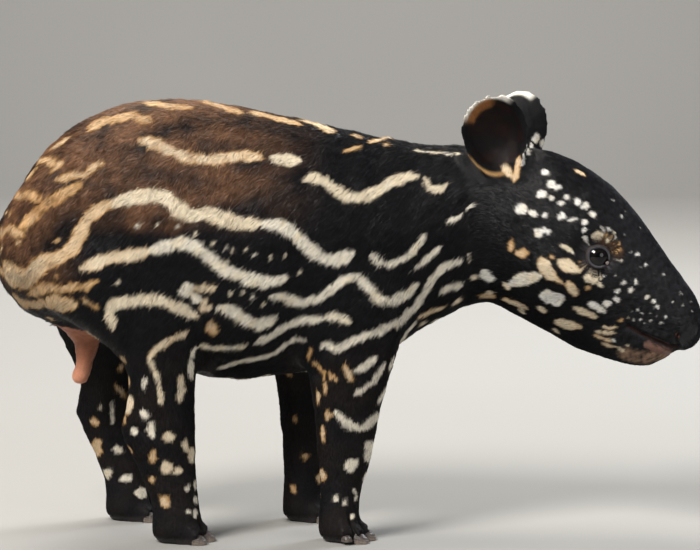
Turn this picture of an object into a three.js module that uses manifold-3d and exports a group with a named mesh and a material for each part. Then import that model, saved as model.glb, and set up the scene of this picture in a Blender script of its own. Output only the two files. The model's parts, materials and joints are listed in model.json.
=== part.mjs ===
// A Malayan tapir calf, standing still at life size, as a museum model.
//
// Millimetres, +X towards the nose, +Y to the animal's left, +Z up. The calf
// is modelled whole, from smooth sections along its body and legs, and is then
// parted with thin cuts where a person would name its parts. Its head is low
// and turned a little to its right. The feet stand flat on z = 0.

import * as THREE from 'three';
import { mergeVertices } from 'three/addons/utils/BufferGeometryUtils.js';
import Module from 'manifold-3d';

const wasm = await Module();
wasm.setup();

// Driving dimensions
const GAP = 0.3; // between pieces that touch
const BODY_SEGMENTS = 24;
const LEG_SEGMENTS = 12;
const TOE_SEGMENTS = 5; // over the arch of a toe or hoof
const HEAD_YAW = THREE.MathUtils.degToRad(-18); // towards the animal's right
const NECK_BEND = { start: 85, end: 190 }; // where the neck takes up that turn
const NECK_CUT = { top: 92, bottom: 52 }; // x of the cut at the crest and the throat
const HEAD_CUT = { top: 141, bottom: 118 };
const CUT_TOP_Z = 460; // the heights at which those two x are meant
const CUT_BOTTOM_Z = 181;
const ELBOW_Z = 176;
const KNEE_Z = 74;
const STIFLE_Z = 184;
const HOCK_Z = 86;
const EYE_RADIUS = 13;
const EYE = { along: 251, out: 31.5, z: 283 };

const MERGE_WITHIN = 1e-4;

// Reaches of the cutting shapes, past the body
const WIDE = 400;
const FAR = 900;
const HIGH = 600;

const COAT = { color: 0x17151a, roughness: 0.8 };
const BARE = { color: 0x3d302b, roughness: 0.6 };
const PINK = { color: 0x8a5a48, roughness: 0.6 };
const HORN = { color: 0x4a4038, roughness: 0.5 };
const EYEBALL = { color: 0x070608, roughness: 0.08 };

// The body from the dock of the tail to the tip of the nose. Each section
// goes from a point on the back to one on the belly; half is its half width,
// level is how far up the widest place lies, and top and low are how square
// its upper and lower halves are (2 is an ellipse).
const BODY = [
  { tx: -353, tz: 297, bx: -353, bz: 268, half: 22, level: 0.5, top: 2, low: 2 },
  { tx: -343, tz: 325, bx: -345, bz: 243, half: 49, level: 0.5, top: 2, low: 2 },
  { tx: -323, tz: 358, bx: -325, bz: 220, half: 68, level: 0.5, top: 2, low: 2 },
  { tx: -295, tz: 394, bx: -292, bz: 206, half: 79, level: 0.5, top: 2, low: 2 },
  { tx: -252, tz: 422, bx: -247, bz: 195, half: 87, level: 0.5, top: 2.05, low: 2 },
  { tx: -200, tz: 435.5, bx: -197, bz: 174, half: 92, level: 0.5, top: 2.05, low: 2.1 },
  { tx: -150, tz: 435, bx: -150, bz: 156, half: 96, level: 0.47, top: 2, low: 2.2 },
  { tx: -105, tz: 428, bx: -105, bz: 152.5, half: 98, level: 0.46, top: 1.95, low: 2.2 },
  { tx: -57, tz: 417.5, bx: -60, bz: 159, half: 94, level: 0.46, top: 1.95, low: 2.15 },
  { tx: -12, tz: 408, bx: -14, bz: 164, half: 84, level: 0.46, top: 1.9, low: 2.1 },
  { tx: 28, tz: 399.5, bx: 26, bz: 171, half: 74, level: 0.45, top: 1.9, low: 2.1 },
  { tx: 62, tz: 393, bx: 60, bz: 196, half: 64, level: 0.45, top: 1.9, low: 2.05 },
  { tx: 95, tz: 389.5, bx: 92, bz: 213.5, half: 57, level: 0.46, top: 1.9, low: 2 },
  { tx: 132, tz: 387.5, bx: 120, bz: 226.5, half: 53, level: 0.48, top: 2, low: 2 },
  { tx: 167, tz: 388, bx: 144, bz: 229, half: 52, level: 0.52, top: 2.1, low: 2 },
  { tx: 202, tz: 383, bx: 172, bz: 215, half: 52.5, level: 0.52, top: 2.15, low: 2.05 },
  { tx: 234, tz: 367.5, bx: 201, bz: 201, half: 51, level: 0.5, top: 2.1, low: 2.1 },
  { tx: 260, tz: 348.5, bx: 228, bz: 186, half: 47, level: 0.5, top: 2, low: 2.1 },
  { tx: 281, tz: 325.5, bx: 252, bz: 179.5, half: 39, level: 0.5, top: 1.95, low: 2.1 },
  { tx: 299, tz: 299.5, bx: 277, bz: 172, half: 31.5, level: 0.52, top: 2, low: 2 },
  { tx: 315, tz: 277, bx: 299, bz: 173.5, half: 27, level: 0.56, top: 2.05, low: 1.9 },
  { tx: 329, tz: 257.5, bx: 318, bz: 188, half: 24.5, level: 0.5, top: 2.1, low: 1.9 },
  { tx: 339, tz: 242.5, bx: 330, bz: 189.5, half: 22, level: 0.46, top: 2.1, low: 2 },
  { tx: 343.5, tz: 229, bx: 339.5, bz: 196, half: 16.5, level: 0.46, top: 2, low: 2 },
  { tx: 344.8, tz: 219, bx: 343, bz: 205, half: 8, level: 0.46, top: 2, low: 2 },
];
const BODY_STEP = 0.7; // of a section's spacing, from one ring to the next
const BODY_END = 1.5; // how far the rump and the nose bulge past their last section

// Rounded masses that stand out of the body's sections: along x, out from the
// midline, up, how wide and how proud.
const SWELLS = [
  { at: 'cheek', x: 196, out: 50, z: 262, reach: 34, proud: 5 },
  { at: 'brow', x: 244, out: 38, z: 312, reach: 20, proud: 4.5 },
  { at: 'cheekbone', x: 243, out: 44, z: 266, reach: 20, proud: 3 },
  { at: 'nostril wing', x: 334, out: 17, z: 214, reach: 15, proud: 3 },
  { at: 'belly', x: -95, out: 70, z: 200, reach: 60, proud: 3 },
];
// Hollows are swells that go in: the eye socket, and behind the mouth.
const HOLLOWS = [
  { at: 'eye socket', x: 262, out: 40, z: 286, reach: 22, proud: -3.5 },
  { at: 'mouth corner', x: 284, out: 28, z: 208, reach: 16, proud: -2.5 },
  { at: 'jaw hollow', x: 246, out: 40, z: 222, reach: 26, proud: -3 },
];

// Legs as level sections: front and rear x, the leg's middle out from the
// midline, and its half width.
const HIND_LEG = [
  { z: 348, front: -192, rear: -272, mid: 46, half: 20 },
  { z: 316, front: -166, rear: -306, mid: 51.5, half: 36 },
  { z: 272, front: -150, rear: -326, mid: 55, half: 42.5 },
  { z: 232, front: -144, rear: -304, mid: 57, half: 40 },
  { z: 206, front: -146, rear: -258, mid: 60, half: 35.5 },
  { z: 186, front: -149, rear: -231, mid: 62, half: 31 },
  { z: 164, front: -150, rear: -218, mid: 63, half: 27.5 },
  { z: 140, front: -151, rear: -220, mid: 63, half: 25 },
  { z: 112, front: -150.5, rear: -227, mid: 63, half: 23 },
  { z: 90, front: -151, rear: -219, mid: 63, half: 21.5 },
  { z: 65, front: -150, rear: -207, mid: 63, half: 20.5 },
  { z: 44, front: -148.5, rear: -198, mid: 63, half: 20.5 },
  { z: 26, front: -147, rear: -195, mid: 63, half: 21.5 },
];
const FORE_LEG = [
  { z: 316, front: 16, rear: -50, mid: 39, half: 14 },
  { z: 286, front: 42, rear: -72, mid: 46, half: 27 },
  { z: 252, front: 57, rear: -82, mid: 51.5, half: 34 },
  { z: 218, front: 61, rear: -74, mid: 54, half: 33 },
  { z: 192, front: 51, rear: -52, mid: 56, half: 29.5 },
  { z: 164, front: 41, rear: -43, mid: 57, half: 26 },
  { z: 135, front: 33, rear: -38, mid: 58, half: 23.5 },
  { z: 104, front: 26.5, rear: -35, mid: 58, half: 21.5 },
  { z: 76, front: 21.5, rear: -33, mid: 58, half: 20 },
  { z: 52, front: 13, rear: -31, mid: 58, half: 18.5 },
  { z: 28, front: 9, rear: -31, mid: 58, half: 20 },
];
// How far back each leg stands, at its top and at its foot, and how much
// fuller it is behind, just above the shank.
const STANCE = {
  hind_right: { top: 0, foot: 0, fuller: 0 },
  hind_left: { top: -6, foot: -56, fuller: 15 },
  fore_right: { top: 0, foot: 0, fuller: 0 },
  fore_left: { top: -8, foot: -38, fuller: 0 },
};
const LEG_BACK_FROM_Z = 290;
const LEG_BACK_TO_Z = 165;
const FULLER = { z: 178, reach: 24 };
const LEG_ROUND = 0.93; // 1 is an ellipse, less is squarer
const LEG_CROWN = 4; // how far a leg's top bulges

// The pad of a foot, as changes to the leg's last section.
const PAD = [
  { z: 14, front: 2, rear: -0.5, half: 1.5 },
  { z: 4.5, front: 1, rear: 0.5, half: 0.5 },
  { z: 0, front: -3, rear: 5, half: -4 },
];

// Feet: where each toe starts, out from the foot's middle, how far it turns
// out from straight ahead, its reach and its size.
const FORE_TOES = [
  { name: 'middle', aside: -0.5, turn: -1, reach: 36.5, size: 1.06 },
  { name: 'inner', aside: -11.5, turn: -16, reach: 30, size: 0.94 },
  { name: 'outer', aside: 10.5, turn: 16, reach: 30, size: 0.94 },
  { name: 'side', aside: 15, turn: 50, reach: 18, size: 0.66 },
];
const HIND_TOES = [
  { name: 'middle', aside: 0, turn: 0, reach: 38, size: 1.06 },
  { name: 'inner', aside: -11.5, turn: -16, reach: 31.5, size: 0.94 },
  { name: 'outer', aside: 11.5, turn: 16, reach: 31.5, size: 0.94 },
];
const HOOF = { half: 8, height: 13, length: 14 };
const HOOF_SHAPE = [
  { t: 0, half: 1, height: 1 },
  { t: 0.65, half: 0.92, height: 0.72 },
  { t: 1, half: 0.55, height: 0.32 },
];
const TOE = { start: 4, half: 9.2, height: 27, endHalf: 9, endHeight: 15, underHoof: 0.45 };
const TOE_ROUND = 0.8;
const SIDE_HOOF_LIFT = 3; // the small side toe of a forefoot hangs clear of the floor
const SIDE_TOE_LIFT = 4;

// The ears are oval cups: half width and height of the rim, depth and wall.
const EAR = {
  half: 33.5,
  high: 42.5,
  depth: 24,
  wall: 3,
  along: 158,
  out: 50,
  z: 399.5,
  turn: THREE.MathUtils.degToRad(20), // of the opening, from sideways to forwards
  lean: THREE.MathUtils.degToRad(12), // of the tip, backwards
  splay: THREE.MathUtils.degToRad(8), // of the tip, outwards
  egg: 0.1, // how much wider it is above than below
  bowl: 2.3, // how flat the bottom of the cup is
  shallower: 0.25, // share of its depth lost towards the tip
  forward: 3, // where the deepest place lies, from the rim's middle
  low: 8,
  thicker: 0.5, // share that the wall gains at the deepest place
};
const EAR_AROUND = 16;
const EAR_STEPS = [0.38, 0.7, 0.92, 1];
const EAR_LID = 6; // how far past its rim the ear keeps the head away
const EAR_ROOT = { forward: 6, inward: 27, down: 24, radius: 20, half: 14 };

const TAIL = [
  { x: -337, z: 309, radius: 10 },
  { x: -354, z: 301, radius: 9 },
  { x: -363.5, z: 286, radius: 7.5 },
  { x: -366, z: 267, radius: 6.5 },
  { x: -364.5, z: 250, radius: 4.5 },
];
const TAIL_SIDES = 10;
const TAIL_TIP = { x: 0.4, z: -3 }; // past the last section

const SHEATH = [
  { z: 222, front: -243, rear: -296, mid: 0, half: 20 },
  { z: 206, front: -247, rear: -290, mid: 0, half: 17.5 },
  { z: 188, front: -251, rear: -276, mid: 0, half: 11.5 },
  { z: 168, front: -255.5, rear: -277, mid: 0, half: 10.5 },
  { z: 155, front: -262, rear: -280, mid: 0, half: 8.5 },
  { z: 148, front: -266, rear: -277, mid: 0, half: 5 },
];

// Small helpers

function smoothstep(from, to, value) {
  const t = THREE.MathUtils.clamp((value - from) / (to - from), 0, 1);
  return t * t * (3 - 2 * t);
}

// A row of sections read between its entries, smoothly, at any place s.
function between(rows, s) {
  const last = rows.length - 1;
  const i = Math.min(Math.floor(s), last - 1);
  const t = s - i;
  const pick = (k) => rows[THREE.MathUtils.clamp(k, 0, last)];
  const out = {};
  for (const key of Object.keys(rows[0])) {
    const [a, b, c, d] = [-1, 0, 1, 2].map((k) => pick(i + k)[key]);
    const m0 = (c - a) / 2;
    const m1 = (d - b) / 2;
    const t2 = t * t;
    const t3 = t2 * t;
    out[key] = (2 * t3 - 3 * t2 + 1) * b + (t3 - 2 * t2 + t) * m0
      + (3 * t2 - 2 * t3) * c + (t3 - t2) * m1;
  }
  return out;
}

// The midline of the body seen from above: straight, then bent at the neck.
function headingAt(x) {
  return HEAD_YAW * smoothstep(NECK_BEND.start, NECK_BEND.end, x);
}

const MIDLINE_STEP = 2;
const MIDLINE = [0];
for (let x = NECK_BEND.start; x < NECK_BEND.end; x += MIDLINE_STEP) {
  const slope = Math.tan(headingAt(x + MIDLINE_STEP / 2));
  MIDLINE.push(MIDLINE[MIDLINE.length - 1] + slope * MIDLINE_STEP);
}

function midlineY(x) {
  if (x <= NECK_BEND.start) return 0;
  const s = (x - NECK_BEND.start) / MIDLINE_STEP;
  const last = MIDLINE.length - 1;
  if (s >= last) return MIDLINE[last] + (s - last) * MIDLINE_STEP * Math.tan(HEAD_YAW);
  const i = Math.floor(s);
  return MIDLINE[i] + (MIDLINE[i + 1] - MIDLINE[i]) * (s - i);
}

// The head's own frame: along is measured on the x axis before the turn, out
// is to the animal's left, z is up.
const HEAD_START = midlineY(NECK_BEND.end) - NECK_BEND.end * Math.tan(HEAD_YAW);

function headPoint(along, out, z) {
  return new THREE.Vector3(
    along - out * Math.sin(HEAD_YAW),
    HEAD_START + along * Math.tan(HEAD_YAW) + out * Math.cos(HEAD_YAW),
    z,
  );
}

function signedPower(value, power) {
  return Math.sign(value) * Math.abs(value) ** power;
}

// Rings of points, each as long as the next, closed by a point at either end.
function loft(rings, first, last) {
  const n = rings[0].length;
  const points = [first, ...rings.flat(), last];
  const index = [];
  const at = (ring, k) => 1 + ring * n + (k % n);
  for (let k = 0; k < n; k += 1) {
    index.push(0, at(0, k + 1), at(0, k));
    index.push(points.length - 1, at(rings.length - 1, k), at(rings.length - 1, k + 1));
    for (let r = 0; r + 1 < rings.length; r += 1) {
      index.push(at(r, k), at(r, k + 1), at(r + 1, k + 1));
      index.push(at(r, k), at(r + 1, k + 1), at(r + 1, k));
    }
  }
  const geometry = new THREE.BufferGeometry().setFromPoints(points);
  geometry.setIndex(index);
  return geometry;
}

function middle(points) {
  const sum = points.reduce((total, p) => total.add(p), new THREE.Vector3());
  return sum.divideScalar(points.length);
}

function signedVolume(geometry) {
  const p = geometry.attributes.position;
  const index = geometry.index.array;
  const [a, b, c] = [new THREE.Vector3(), new THREE.Vector3(), new THREE.Vector3()];
  let volume = 0;
  for (let i = 0; i < index.length; i += 3) {
    a.fromBufferAttribute(p, index[i]);
    b.fromBufferAttribute(p, index[i + 1]);
    c.fromBufferAttribute(p, index[i + 2]);
    volume += a.dot(b.cross(c)) / 6;
  }
  return volume;
}

// A closed geometry as a solid, its faces turned outwards.
function solid(source) {
  let geometry = source.clone();
  geometry.deleteAttribute('normal');
  geometry.deleteAttribute('uv');
  geometry = mergeVertices(geometry, MERGE_WITHIN);
  const triVerts = Uint32Array.from(geometry.index.array);
  if (signedVolume(geometry) < 0) {
    for (let i = 0; i < triVerts.length; i += 3) {
      [triVerts[i], triVerts[i + 1]] = [triVerts[i + 1], triVerts[i]];
    }
  }
  const vertProperties = Float32Array.from(geometry.attributes.position.array);
  return new wasm.Manifold(new wasm.Mesh({ numProp: 3, vertProperties, triVerts }));
}

const group = new THREE.Group();

function add(name, shape, look) {
  const mesh = shape.getMesh();
  const geometry = new THREE.BufferGeometry();
  const step = mesh.numProp;
  const positions = new Float32Array((mesh.vertProperties.length / step) * 3);
  for (let i = 0; i < positions.length / 3; i += 1) {
    for (let k = 0; k < 3; k += 1) positions[i * 3 + k] = mesh.vertProperties[i * step + k];
  }
  geometry.setAttribute('position', new THREE.BufferAttribute(positions, 3));
  geometry.setIndex(new THREE.BufferAttribute(Uint32Array.from(mesh.triVerts), 1));
  geometry.computeVertexNormals();
  const material = new THREE.MeshStandardMaterial({ metalness: 0, ...look });
  const piece = new THREE.Mesh(geometry, material);
  piece.name = name;
  group.add(piece);
}

// A box between two corners.
function block(low, high) {
  const size = new THREE.Vector3().subVectors(high, low);
  const box = new THREE.BoxGeometry(size.x, size.y, size.z);
  box.translate((low.x + high.x) / 2, (low.y + high.y) / 2, (low.z + high.z) / 2);
  return solid(box);
}

// A prism across the body with the given outline in the x-z plane.
function sideCut(outline, place) {
  const shape = new THREE.Shape(outline.map(([x, z]) => new THREE.Vector2(x, z)));
  const prism = new THREE.ExtrudeGeometry(shape, { depth: 2, bevelEnabled: false });
  const p = prism.attributes.position;
  for (let i = 0; i < p.count; i += 1) {
    const out = (p.getZ(i) - 1) * WIDE;
    const spot = place(p.getX(i), out, p.getY(i));
    p.setXYZ(i, spot.x, spot.y, spot.z);
  }
  return solid(prism);
}

const straight = (x, out, z) => new THREE.Vector3(x, out, z);

// Body

function swellAt(x, out, z) {
  let proud = 0;
  for (const swell of [...SWELLS, ...HOLLOWS]) {
    const squared = (x - swell.x) ** 2 + (Math.abs(out) - swell.out) ** 2 + (z - swell.z) ** 2;
    proud += swell.proud * Math.exp(-squared / (swell.reach * swell.reach));
  }
  return proud;
}

function bodyRing(s) {
  const at = between(BODY, s);
  const level = at.level;
  const lx = at.bx + (at.tx - at.bx) * level;
  const lz = at.bz + (at.tz - at.bz) * level;
  const ring = [];
  for (let k = 0; k < BODY_SEGMENTS; k += 1) {
    const angle = (k / BODY_SEGMENTS) * 2 * Math.PI;
    const power = 2 / (Math.cos(angle) > 0 ? at.top : at.low);
    const up = signedPower(Math.cos(angle), power);
    const out = at.half * signedPower(Math.sin(angle), power);
    const end = up > 0 ? [at.tx, at.tz] : [at.bx, at.bz];
    const x = lx + (end[0] - lx) * Math.abs(up);
    const z = lz + (end[1] - lz) * Math.abs(up);
    const proud = swellAt(x, out, z) * Math.sign(out) * Math.abs(Math.sin(angle));
    const heading = headingAt(x);
    ring.push(new THREE.Vector3(
      x - (out + proud) * Math.sin(heading),
      midlineY(x) + (out + proud) * Math.cos(heading),
      z,
    ));
  }
  return ring;
}

function bodySolid() {
  const count = Math.round((BODY.length - 1) / BODY_STEP);
  const rings = [];
  for (let i = 0; i <= count; i += 1) rings.push(bodyRing((i / count) * (BODY.length - 1)));
  const rump = middle(rings[0]).add(new THREE.Vector3(-BODY_END, 0, 0));
  const ahead = new THREE.Vector3(BODY_END, BODY_END * Math.tan(HEAD_YAW), 0);
  const nose = middle(rings[count]).add(ahead);
  return solid(loft(rings, rump, nose));
}

// Legs

function levelRing(at, side, grow, segments) {
  const half = (at.front - at.rear) / 2 + grow;
  const ring = [];
  for (let k = 0; k < segments; k += 1) {
    const angle = (k / segments) * 2 * Math.PI;
    ring.push(new THREE.Vector3(
      (at.front + at.rear) / 2 + half * signedPower(Math.cos(angle), LEG_ROUND),
      side * (at.mid + (at.half + grow) * signedPower(Math.sin(angle), LEG_ROUND)),
      at.z,
    ));
  }
  return ring;
}

function levelSolid(rows, side, grow, segments) {
  const rings = rows.map((at) => levelRing(at, side, grow, segments));
  const first = middle(rings[0]).add(new THREE.Vector3(0, 0, LEG_CROWN + grow));
  return solid(loft(rings, first, middle(rings[rings.length - 1])));
}

// A leg's sections where that leg stands, with the pad of the foot below.
function standing(plan, name) {
  const { top, foot, fuller } = STANCE[name];
  const at = plan[plan.length - 1];
  const pad = PAD.map((row) => ({
    z: row.z,
    front: at.front + row.front,
    rear: at.rear + row.rear,
    mid: at.mid,
    half: at.half + row.half,
  }));
  return [...plan, ...pad].map((row) => {
    const back = foot + (top - foot) * smoothstep(LEG_BACK_TO_Z, LEG_BACK_FROM_Z, row.z);
    const more = fuller * Math.exp(-(((row.z - FULLER.z) / FULLER.reach) ** 2));
    return { ...row, front: row.front + back, rear: row.rear + back - more };
  });
}

// Feet

// A flat-bottomed section of a toe or hoof, across its direction.
function soleRing(centre, aside, half, height, floor) {
  const ring = [];
  for (let k = 0; k <= TOE_SEGMENTS; k += 1) {
    const angle = (k / TOE_SEGMENTS) * Math.PI;
    const up = floor + (height - floor) * signedPower(Math.sin(angle), TOE_ROUND);
    const out = half * signedPower(Math.cos(angle), TOE_ROUND);
    ring.push(new THREE.Vector3(centre.x + aside.x * out, centre.y + aside.y * out, up));
  }
  return ring;
}

function alongToe(centre, side, toe, rows) {
  const turn = side * THREE.MathUtils.degToRad(toe.turn);
  const forward = new THREE.Vector3(Math.cos(turn), Math.sin(turn), 0);
  const aside = new THREE.Vector3(-Math.sin(turn), Math.cos(turn), 0);
  const start = centre.clone().add(new THREE.Vector3(0, side * toe.aside, 0));
  const rings = rows.map(({ reach, half, height, floor }) => (
    soleRing(start.clone().addScaledVector(forward, reach), aside, half, height, floor)
  ));
  return solid(loft(rings, middle(rings[0]), middle(rings[rings.length - 1])));
}

function hoofSolid(centre, side, toe, grow) {
  const { half, height, length } = HOOF;
  const size = toe.size;
  const start = toe.reach - length * size;
  const floor = toe.name === 'side' ? SIDE_HOOF_LIFT : 0;
  return alongToe(centre, side, toe, HOOF_SHAPE.map((row) => ({
    reach: start + row.t * length * size + (row.t === 0 ? -grow : grow),
    half: half * size * row.half + grow,
    height: floor + height * size * row.height + grow,
    floor: floor - grow,
  })));
}

function toeSolid(centre, side, toe) {
  const size = toe.size;
  const floor = toe.name === 'side' ? SIDE_TOE_LIFT : 0;
  const end = toe.reach - HOOF.length * size * TOE.underHoof;
  return alongToe(centre, side, toe, [
    { reach: TOE.start, half: TOE.half * size, height: TOE.height, floor },
    { reach: end, half: TOE.endHalf * size, height: floor + TOE.endHeight * size, floor },
  ]);
}

function cutLevel(shape, low, high) {
  return shape.intersect(block(
    new THREE.Vector3(-WIDE, -WIDE, low),
    new THREE.Vector3(WIDE, WIDE, high),
  ));
}

// One leg: its upper part, lower part, foot and hooves. Gives back what the
// trunk makes room for.
function makeLeg(name, plan, toes, upperName, lowerName, upperZ, lowerZ) {
  const side = name.endsWith('left') ? 1 : -1;
  const rows = standing(plan, name);
  const leg = levelSolid(rows, side, 0, LEG_SEGMENTS);
  add(`${name}_${upperName}`, cutLevel(leg, upperZ + GAP / 2, HIGH), COAT);
  add(`${name}_${lowerName}`, cutLevel(leg, lowerZ + GAP / 2, upperZ - GAP / 2), COAT);

  const ankle = rows[plan.length - 1];
  const centre = new THREE.Vector3((ankle.front + ankle.rear) / 2, side * ankle.mid, 0);
  let foot = cutLevel(leg, -WIDE, lowerZ - GAP / 2);
  for (const toe of toes) foot = foot.add(toeSolid(centre, side, toe));
  let hooves = null;
  for (const toe of toes) {
    let hoof = hoofSolid(centre, side, toe, 0);
    if (hooves) hoof = hoof.subtract(hooves);
    add(`${name}_hoof_${toe.name}`, hoof, HORN);
    const room = hoofSolid(centre, side, toe, GAP);
    hooves = hooves ? hooves.add(room) : room;
  }
  add(`${name}_foot`, foot.subtract(hooves), COAT);
  return levelSolid(rows, side, GAP, LEG_SEGMENTS);
}

// Ears

const EAR_TURNED = new THREE.Matrix4()
  .makeRotationY(-EAR.lean)
  .premultiply(new THREE.Matrix4().makeRotationX(-EAR.splay))
  .premultiply(new THREE.Matrix4().makeRotationZ(-EAR.turn));

// A spot on the ear's cup: r goes from its deepest place to the rim, angle
// round it, and wall is how far behind the cup's hollow face it lies.
function earSpot(side, r, angle, wall, grow) {
  const up = Math.sin(angle);
  const egg = 1 + EAR.egg * up;
  const depth = EAR.depth * (1 - r ** EAR.bowl) * (1 - EAR.shallower * up * r);
  const p = new THREE.Vector3(
    (EAR.half + grow) * r * egg * Math.cos(angle) + (1 - r) * EAR.forward,
    -depth - wall,
    (EAR.high + grow) * r * up - (1 - r) * EAR.low,
  ).applyMatrix4(EAR_TURNED);
  return headPoint(EAR.along + p.x * Math.cos(HEAD_YAW), side * (EAR.out + p.y), EAR.z + p.z);
}

function earRings(side, wallAt, grow) {
  return EAR_STEPS.map((r) => Array.from({ length: EAR_AROUND }, (_, k) => (
    earSpot(side, r, (k / EAR_AROUND) * 2 * Math.PI, wallAt(r), grow)
  )));
}

const hollowFace = () => 0;
const backFace = (r) => EAR.wall * (1 + EAR.thicker * (1 - r));

// The cup's wall: its hollow face out to the rim, and its back in again.
function earSolid(side) {
  const inside = earRings(side, hollowFace, 0);
  const back = earRings(side, backFace, 0);
  const first = earSpot(side, 0, 0, hollowFace(0), 0);
  return solid(loft([...inside, ...back.toReversed()], first, earSpot(side, 0, 0, backFace(0), 0)));
}

// The cup filled up to a lid past its rim, for the room it takes in the head.
function earFilled(side, wallAt, grow) {
  const back = earRings(side, (r) => wallAt(r) + grow, grow);
  const rim = Array.from({ length: EAR_AROUND }, (_, k) => (
    earSpot(side, 1, (k / EAR_AROUND) * 2 * Math.PI, -EAR_LID, grow)
  ));
  return solid(loft([...back, rim], earSpot(side, 0, 0, wallAt(0) + grow, grow), middle(rim)));
}

// The round root that carries the cup.
function earRoot(side, grow) {
  const { forward, inward, down, radius, half } = EAR_ROOT;
  const root = new THREE.SphereGeometry(1, 12, 8);
  const centre = headPoint(EAR.along + forward, side * (EAR.out - inward), EAR.z - down);
  root.scale(radius + grow, half + grow, radius + grow);
  root.translate(centre.x, centre.y, centre.z);
  return solid(root);
}

// Tail: round sections square to its path.
function tailSolid(grow) {
  const last = TAIL.length - 1;
  const rings = TAIL.map((spot, i) => {
    const from = TAIL[Math.max(i - 1, 0)];
    const to = TAIL[Math.min(i + 1, last)];
    const ahead = new THREE.Vector3(to.x - from.x, 0, to.z - from.z).normalize();
    const aside = new THREE.Vector3(-ahead.z, 0, ahead.x);
    const radius = spot.radius + grow;
    return Array.from({ length: TAIL_SIDES }, (_, k) => {
      const angle = (k / TAIL_SIDES) * 2 * Math.PI;
      return new THREE.Vector3(spot.x, radius * Math.sin(angle), spot.z)
        .addScaledVector(aside, radius * Math.cos(angle));
    });
  });
  const end = TAIL[last];
  const tip = new THREE.Vector3(end.x + TAIL_TIP.x, 0, end.z + TAIL_TIP.z - grow);
  return solid(loft(rings, middle(rings[0]), tip));
}

// Eyes

function eyeSolid(side, grow) {
  const centre = headPoint(EYE.along, side * EYE.out, EYE.z);
  const ball = new THREE.SphereGeometry(EYE_RADIUS + grow, 12, 8);
  ball.translate(centre.x, centre.y, centre.z);
  return solid(ball);
}

// The whole calf, parted

const legs = [
  makeLeg('hind_right', HIND_LEG, HIND_TOES, 'thigh', 'shank', STIFLE_Z, HOCK_Z),
  makeLeg('hind_left', HIND_LEG, HIND_TOES, 'thigh', 'shank', STIFLE_Z, HOCK_Z),
  makeLeg('fore_right', FORE_LEG, FORE_TOES, 'shoulder', 'forearm', ELBOW_Z, KNEE_Z),
  makeLeg('fore_left', FORE_LEG, FORE_TOES, 'shoulder', 'forearm', ELBOW_Z, KNEE_Z),
];

let body = bodySolid();
for (const leg of legs) body = body.subtract(leg);

add('tail', tailSolid(0), COAT);
body = body.subtract(tailSolid(GAP));

add('sheath', levelSolid(SHEATH, 1, 0, LEG_SEGMENTS), PINK);
body = body.subtract(levelSolid(SHEATH, 1, GAP, LEG_SEGMENTS));

for (const side of [1, -1]) {
  const name = side > 0 ? 'left' : 'right';
  const root = earRoot(side, 0).subtract(earFilled(side, hollowFace, 0));
  add(`ear_${name}`, earSolid(side).add(root), COAT);
  body = body.subtract(earFilled(side, backFace, GAP)).subtract(earRoot(side, GAP));
  add(`eye_${name}`, eyeSolid(side, 0), EYEBALL);
  body = body.subtract(eyeSolid(side, GAP));
}

// Neck and head are cut across; the snout and the jaw are cut in the head's
// own frame, along the line of the mouth.
function crossCut({ top, bottom }, gap) {
  const slant = (top - bottom) / (CUT_TOP_Z - CUT_BOTTOM_Z);
  return sideCut([
    [top + gap + slant * (HIGH - CUT_TOP_Z), HIGH],
    [bottom + gap - slant * CUT_BOTTOM_Z, 0],
    [FAR, 0],
    [FAR, HIGH],
  ], straight);
}

add('trunk', body.subtract(crossCut(NECK_CUT, -GAP / 2)), COAT);
const front = body.intersect(crossCut(NECK_CUT, GAP / 2));
add('neck', front.subtract(crossCut(HEAD_CUT, -GAP / 2)), COAT);
const head = front.intersect(crossCut(HEAD_CUT, GAP / 2));

const MOUTH = [
  [284.5, 211.5],
  [296, 207.5],
  [306, 202.5],
  [316, 197.5],
  [326, 191],
  [330, 170],
];
const jawOutline = (gap) => [
  ...MOUTH.map(([x, z]) => [x, z - gap]),
  [330, 120],
  [250 + gap, 120],
  [262 + gap, 190],
];
const snoutOutline = (gap) => [
  [281 + gap, 230],
  ...MOUTH.map(([x, z]) => [x, z + gap]),
  [FAR, 160],
  [FAR, HIGH],
  [345 + gap, 380],
  [281 + gap, 300],
];
const jaw = (gap) => sideCut(jawOutline(gap), headPoint);
const snout = (gap) => sideCut(snoutOutline(gap), headPoint);
add('lower_jaw', head.intersect(jaw(GAP / 2)), BARE);
add('snout', head.intersect(snout(GAP / 2)).subtract(jaw(-GAP / 2)), COAT);
add('head', head.subtract(jaw(-GAP / 2)).subtract(snout(-GAP / 2)), COAT);

// The origin is at the middle of the footprint, on the floor.
const bounds = new THREE.Box3().setFromObject(group);
const centre = bounds.getCenter(new THREE.Vector3());
group.position.set(-centre.x, -centre.y, -bounds.min.z);

export default group;
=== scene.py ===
"""A Malayan tapir calf, standing, as a life-size museum model.

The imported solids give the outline, out to the tips of the coat. Here one skin is made from
copies of them: joined, remeshed, smoothed, sunk by the coat's depth and shaped where folds,
lids, lips and toes show. Over it lies a short coat of thin tufts. The stripes and spots are
drawn once, as strokes in the picture's own pixels, carried from the camera to the skin, and from
there to the far side, so that skin and tufts take the same markings. Everything is in metres,
with +X to the nose, +Y to the animal's left and +Z up.
"""

import json
import logging
import math
from collections.abc import Iterator
from contextlib import contextmanager
from dataclasses import dataclass, field
from enum import Enum
from math import cos, pi, radians, sin

import bpy
import numpy as np
from mathutils import Matrix, Vector
from mathutils.bvhtree import BVHTree

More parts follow.
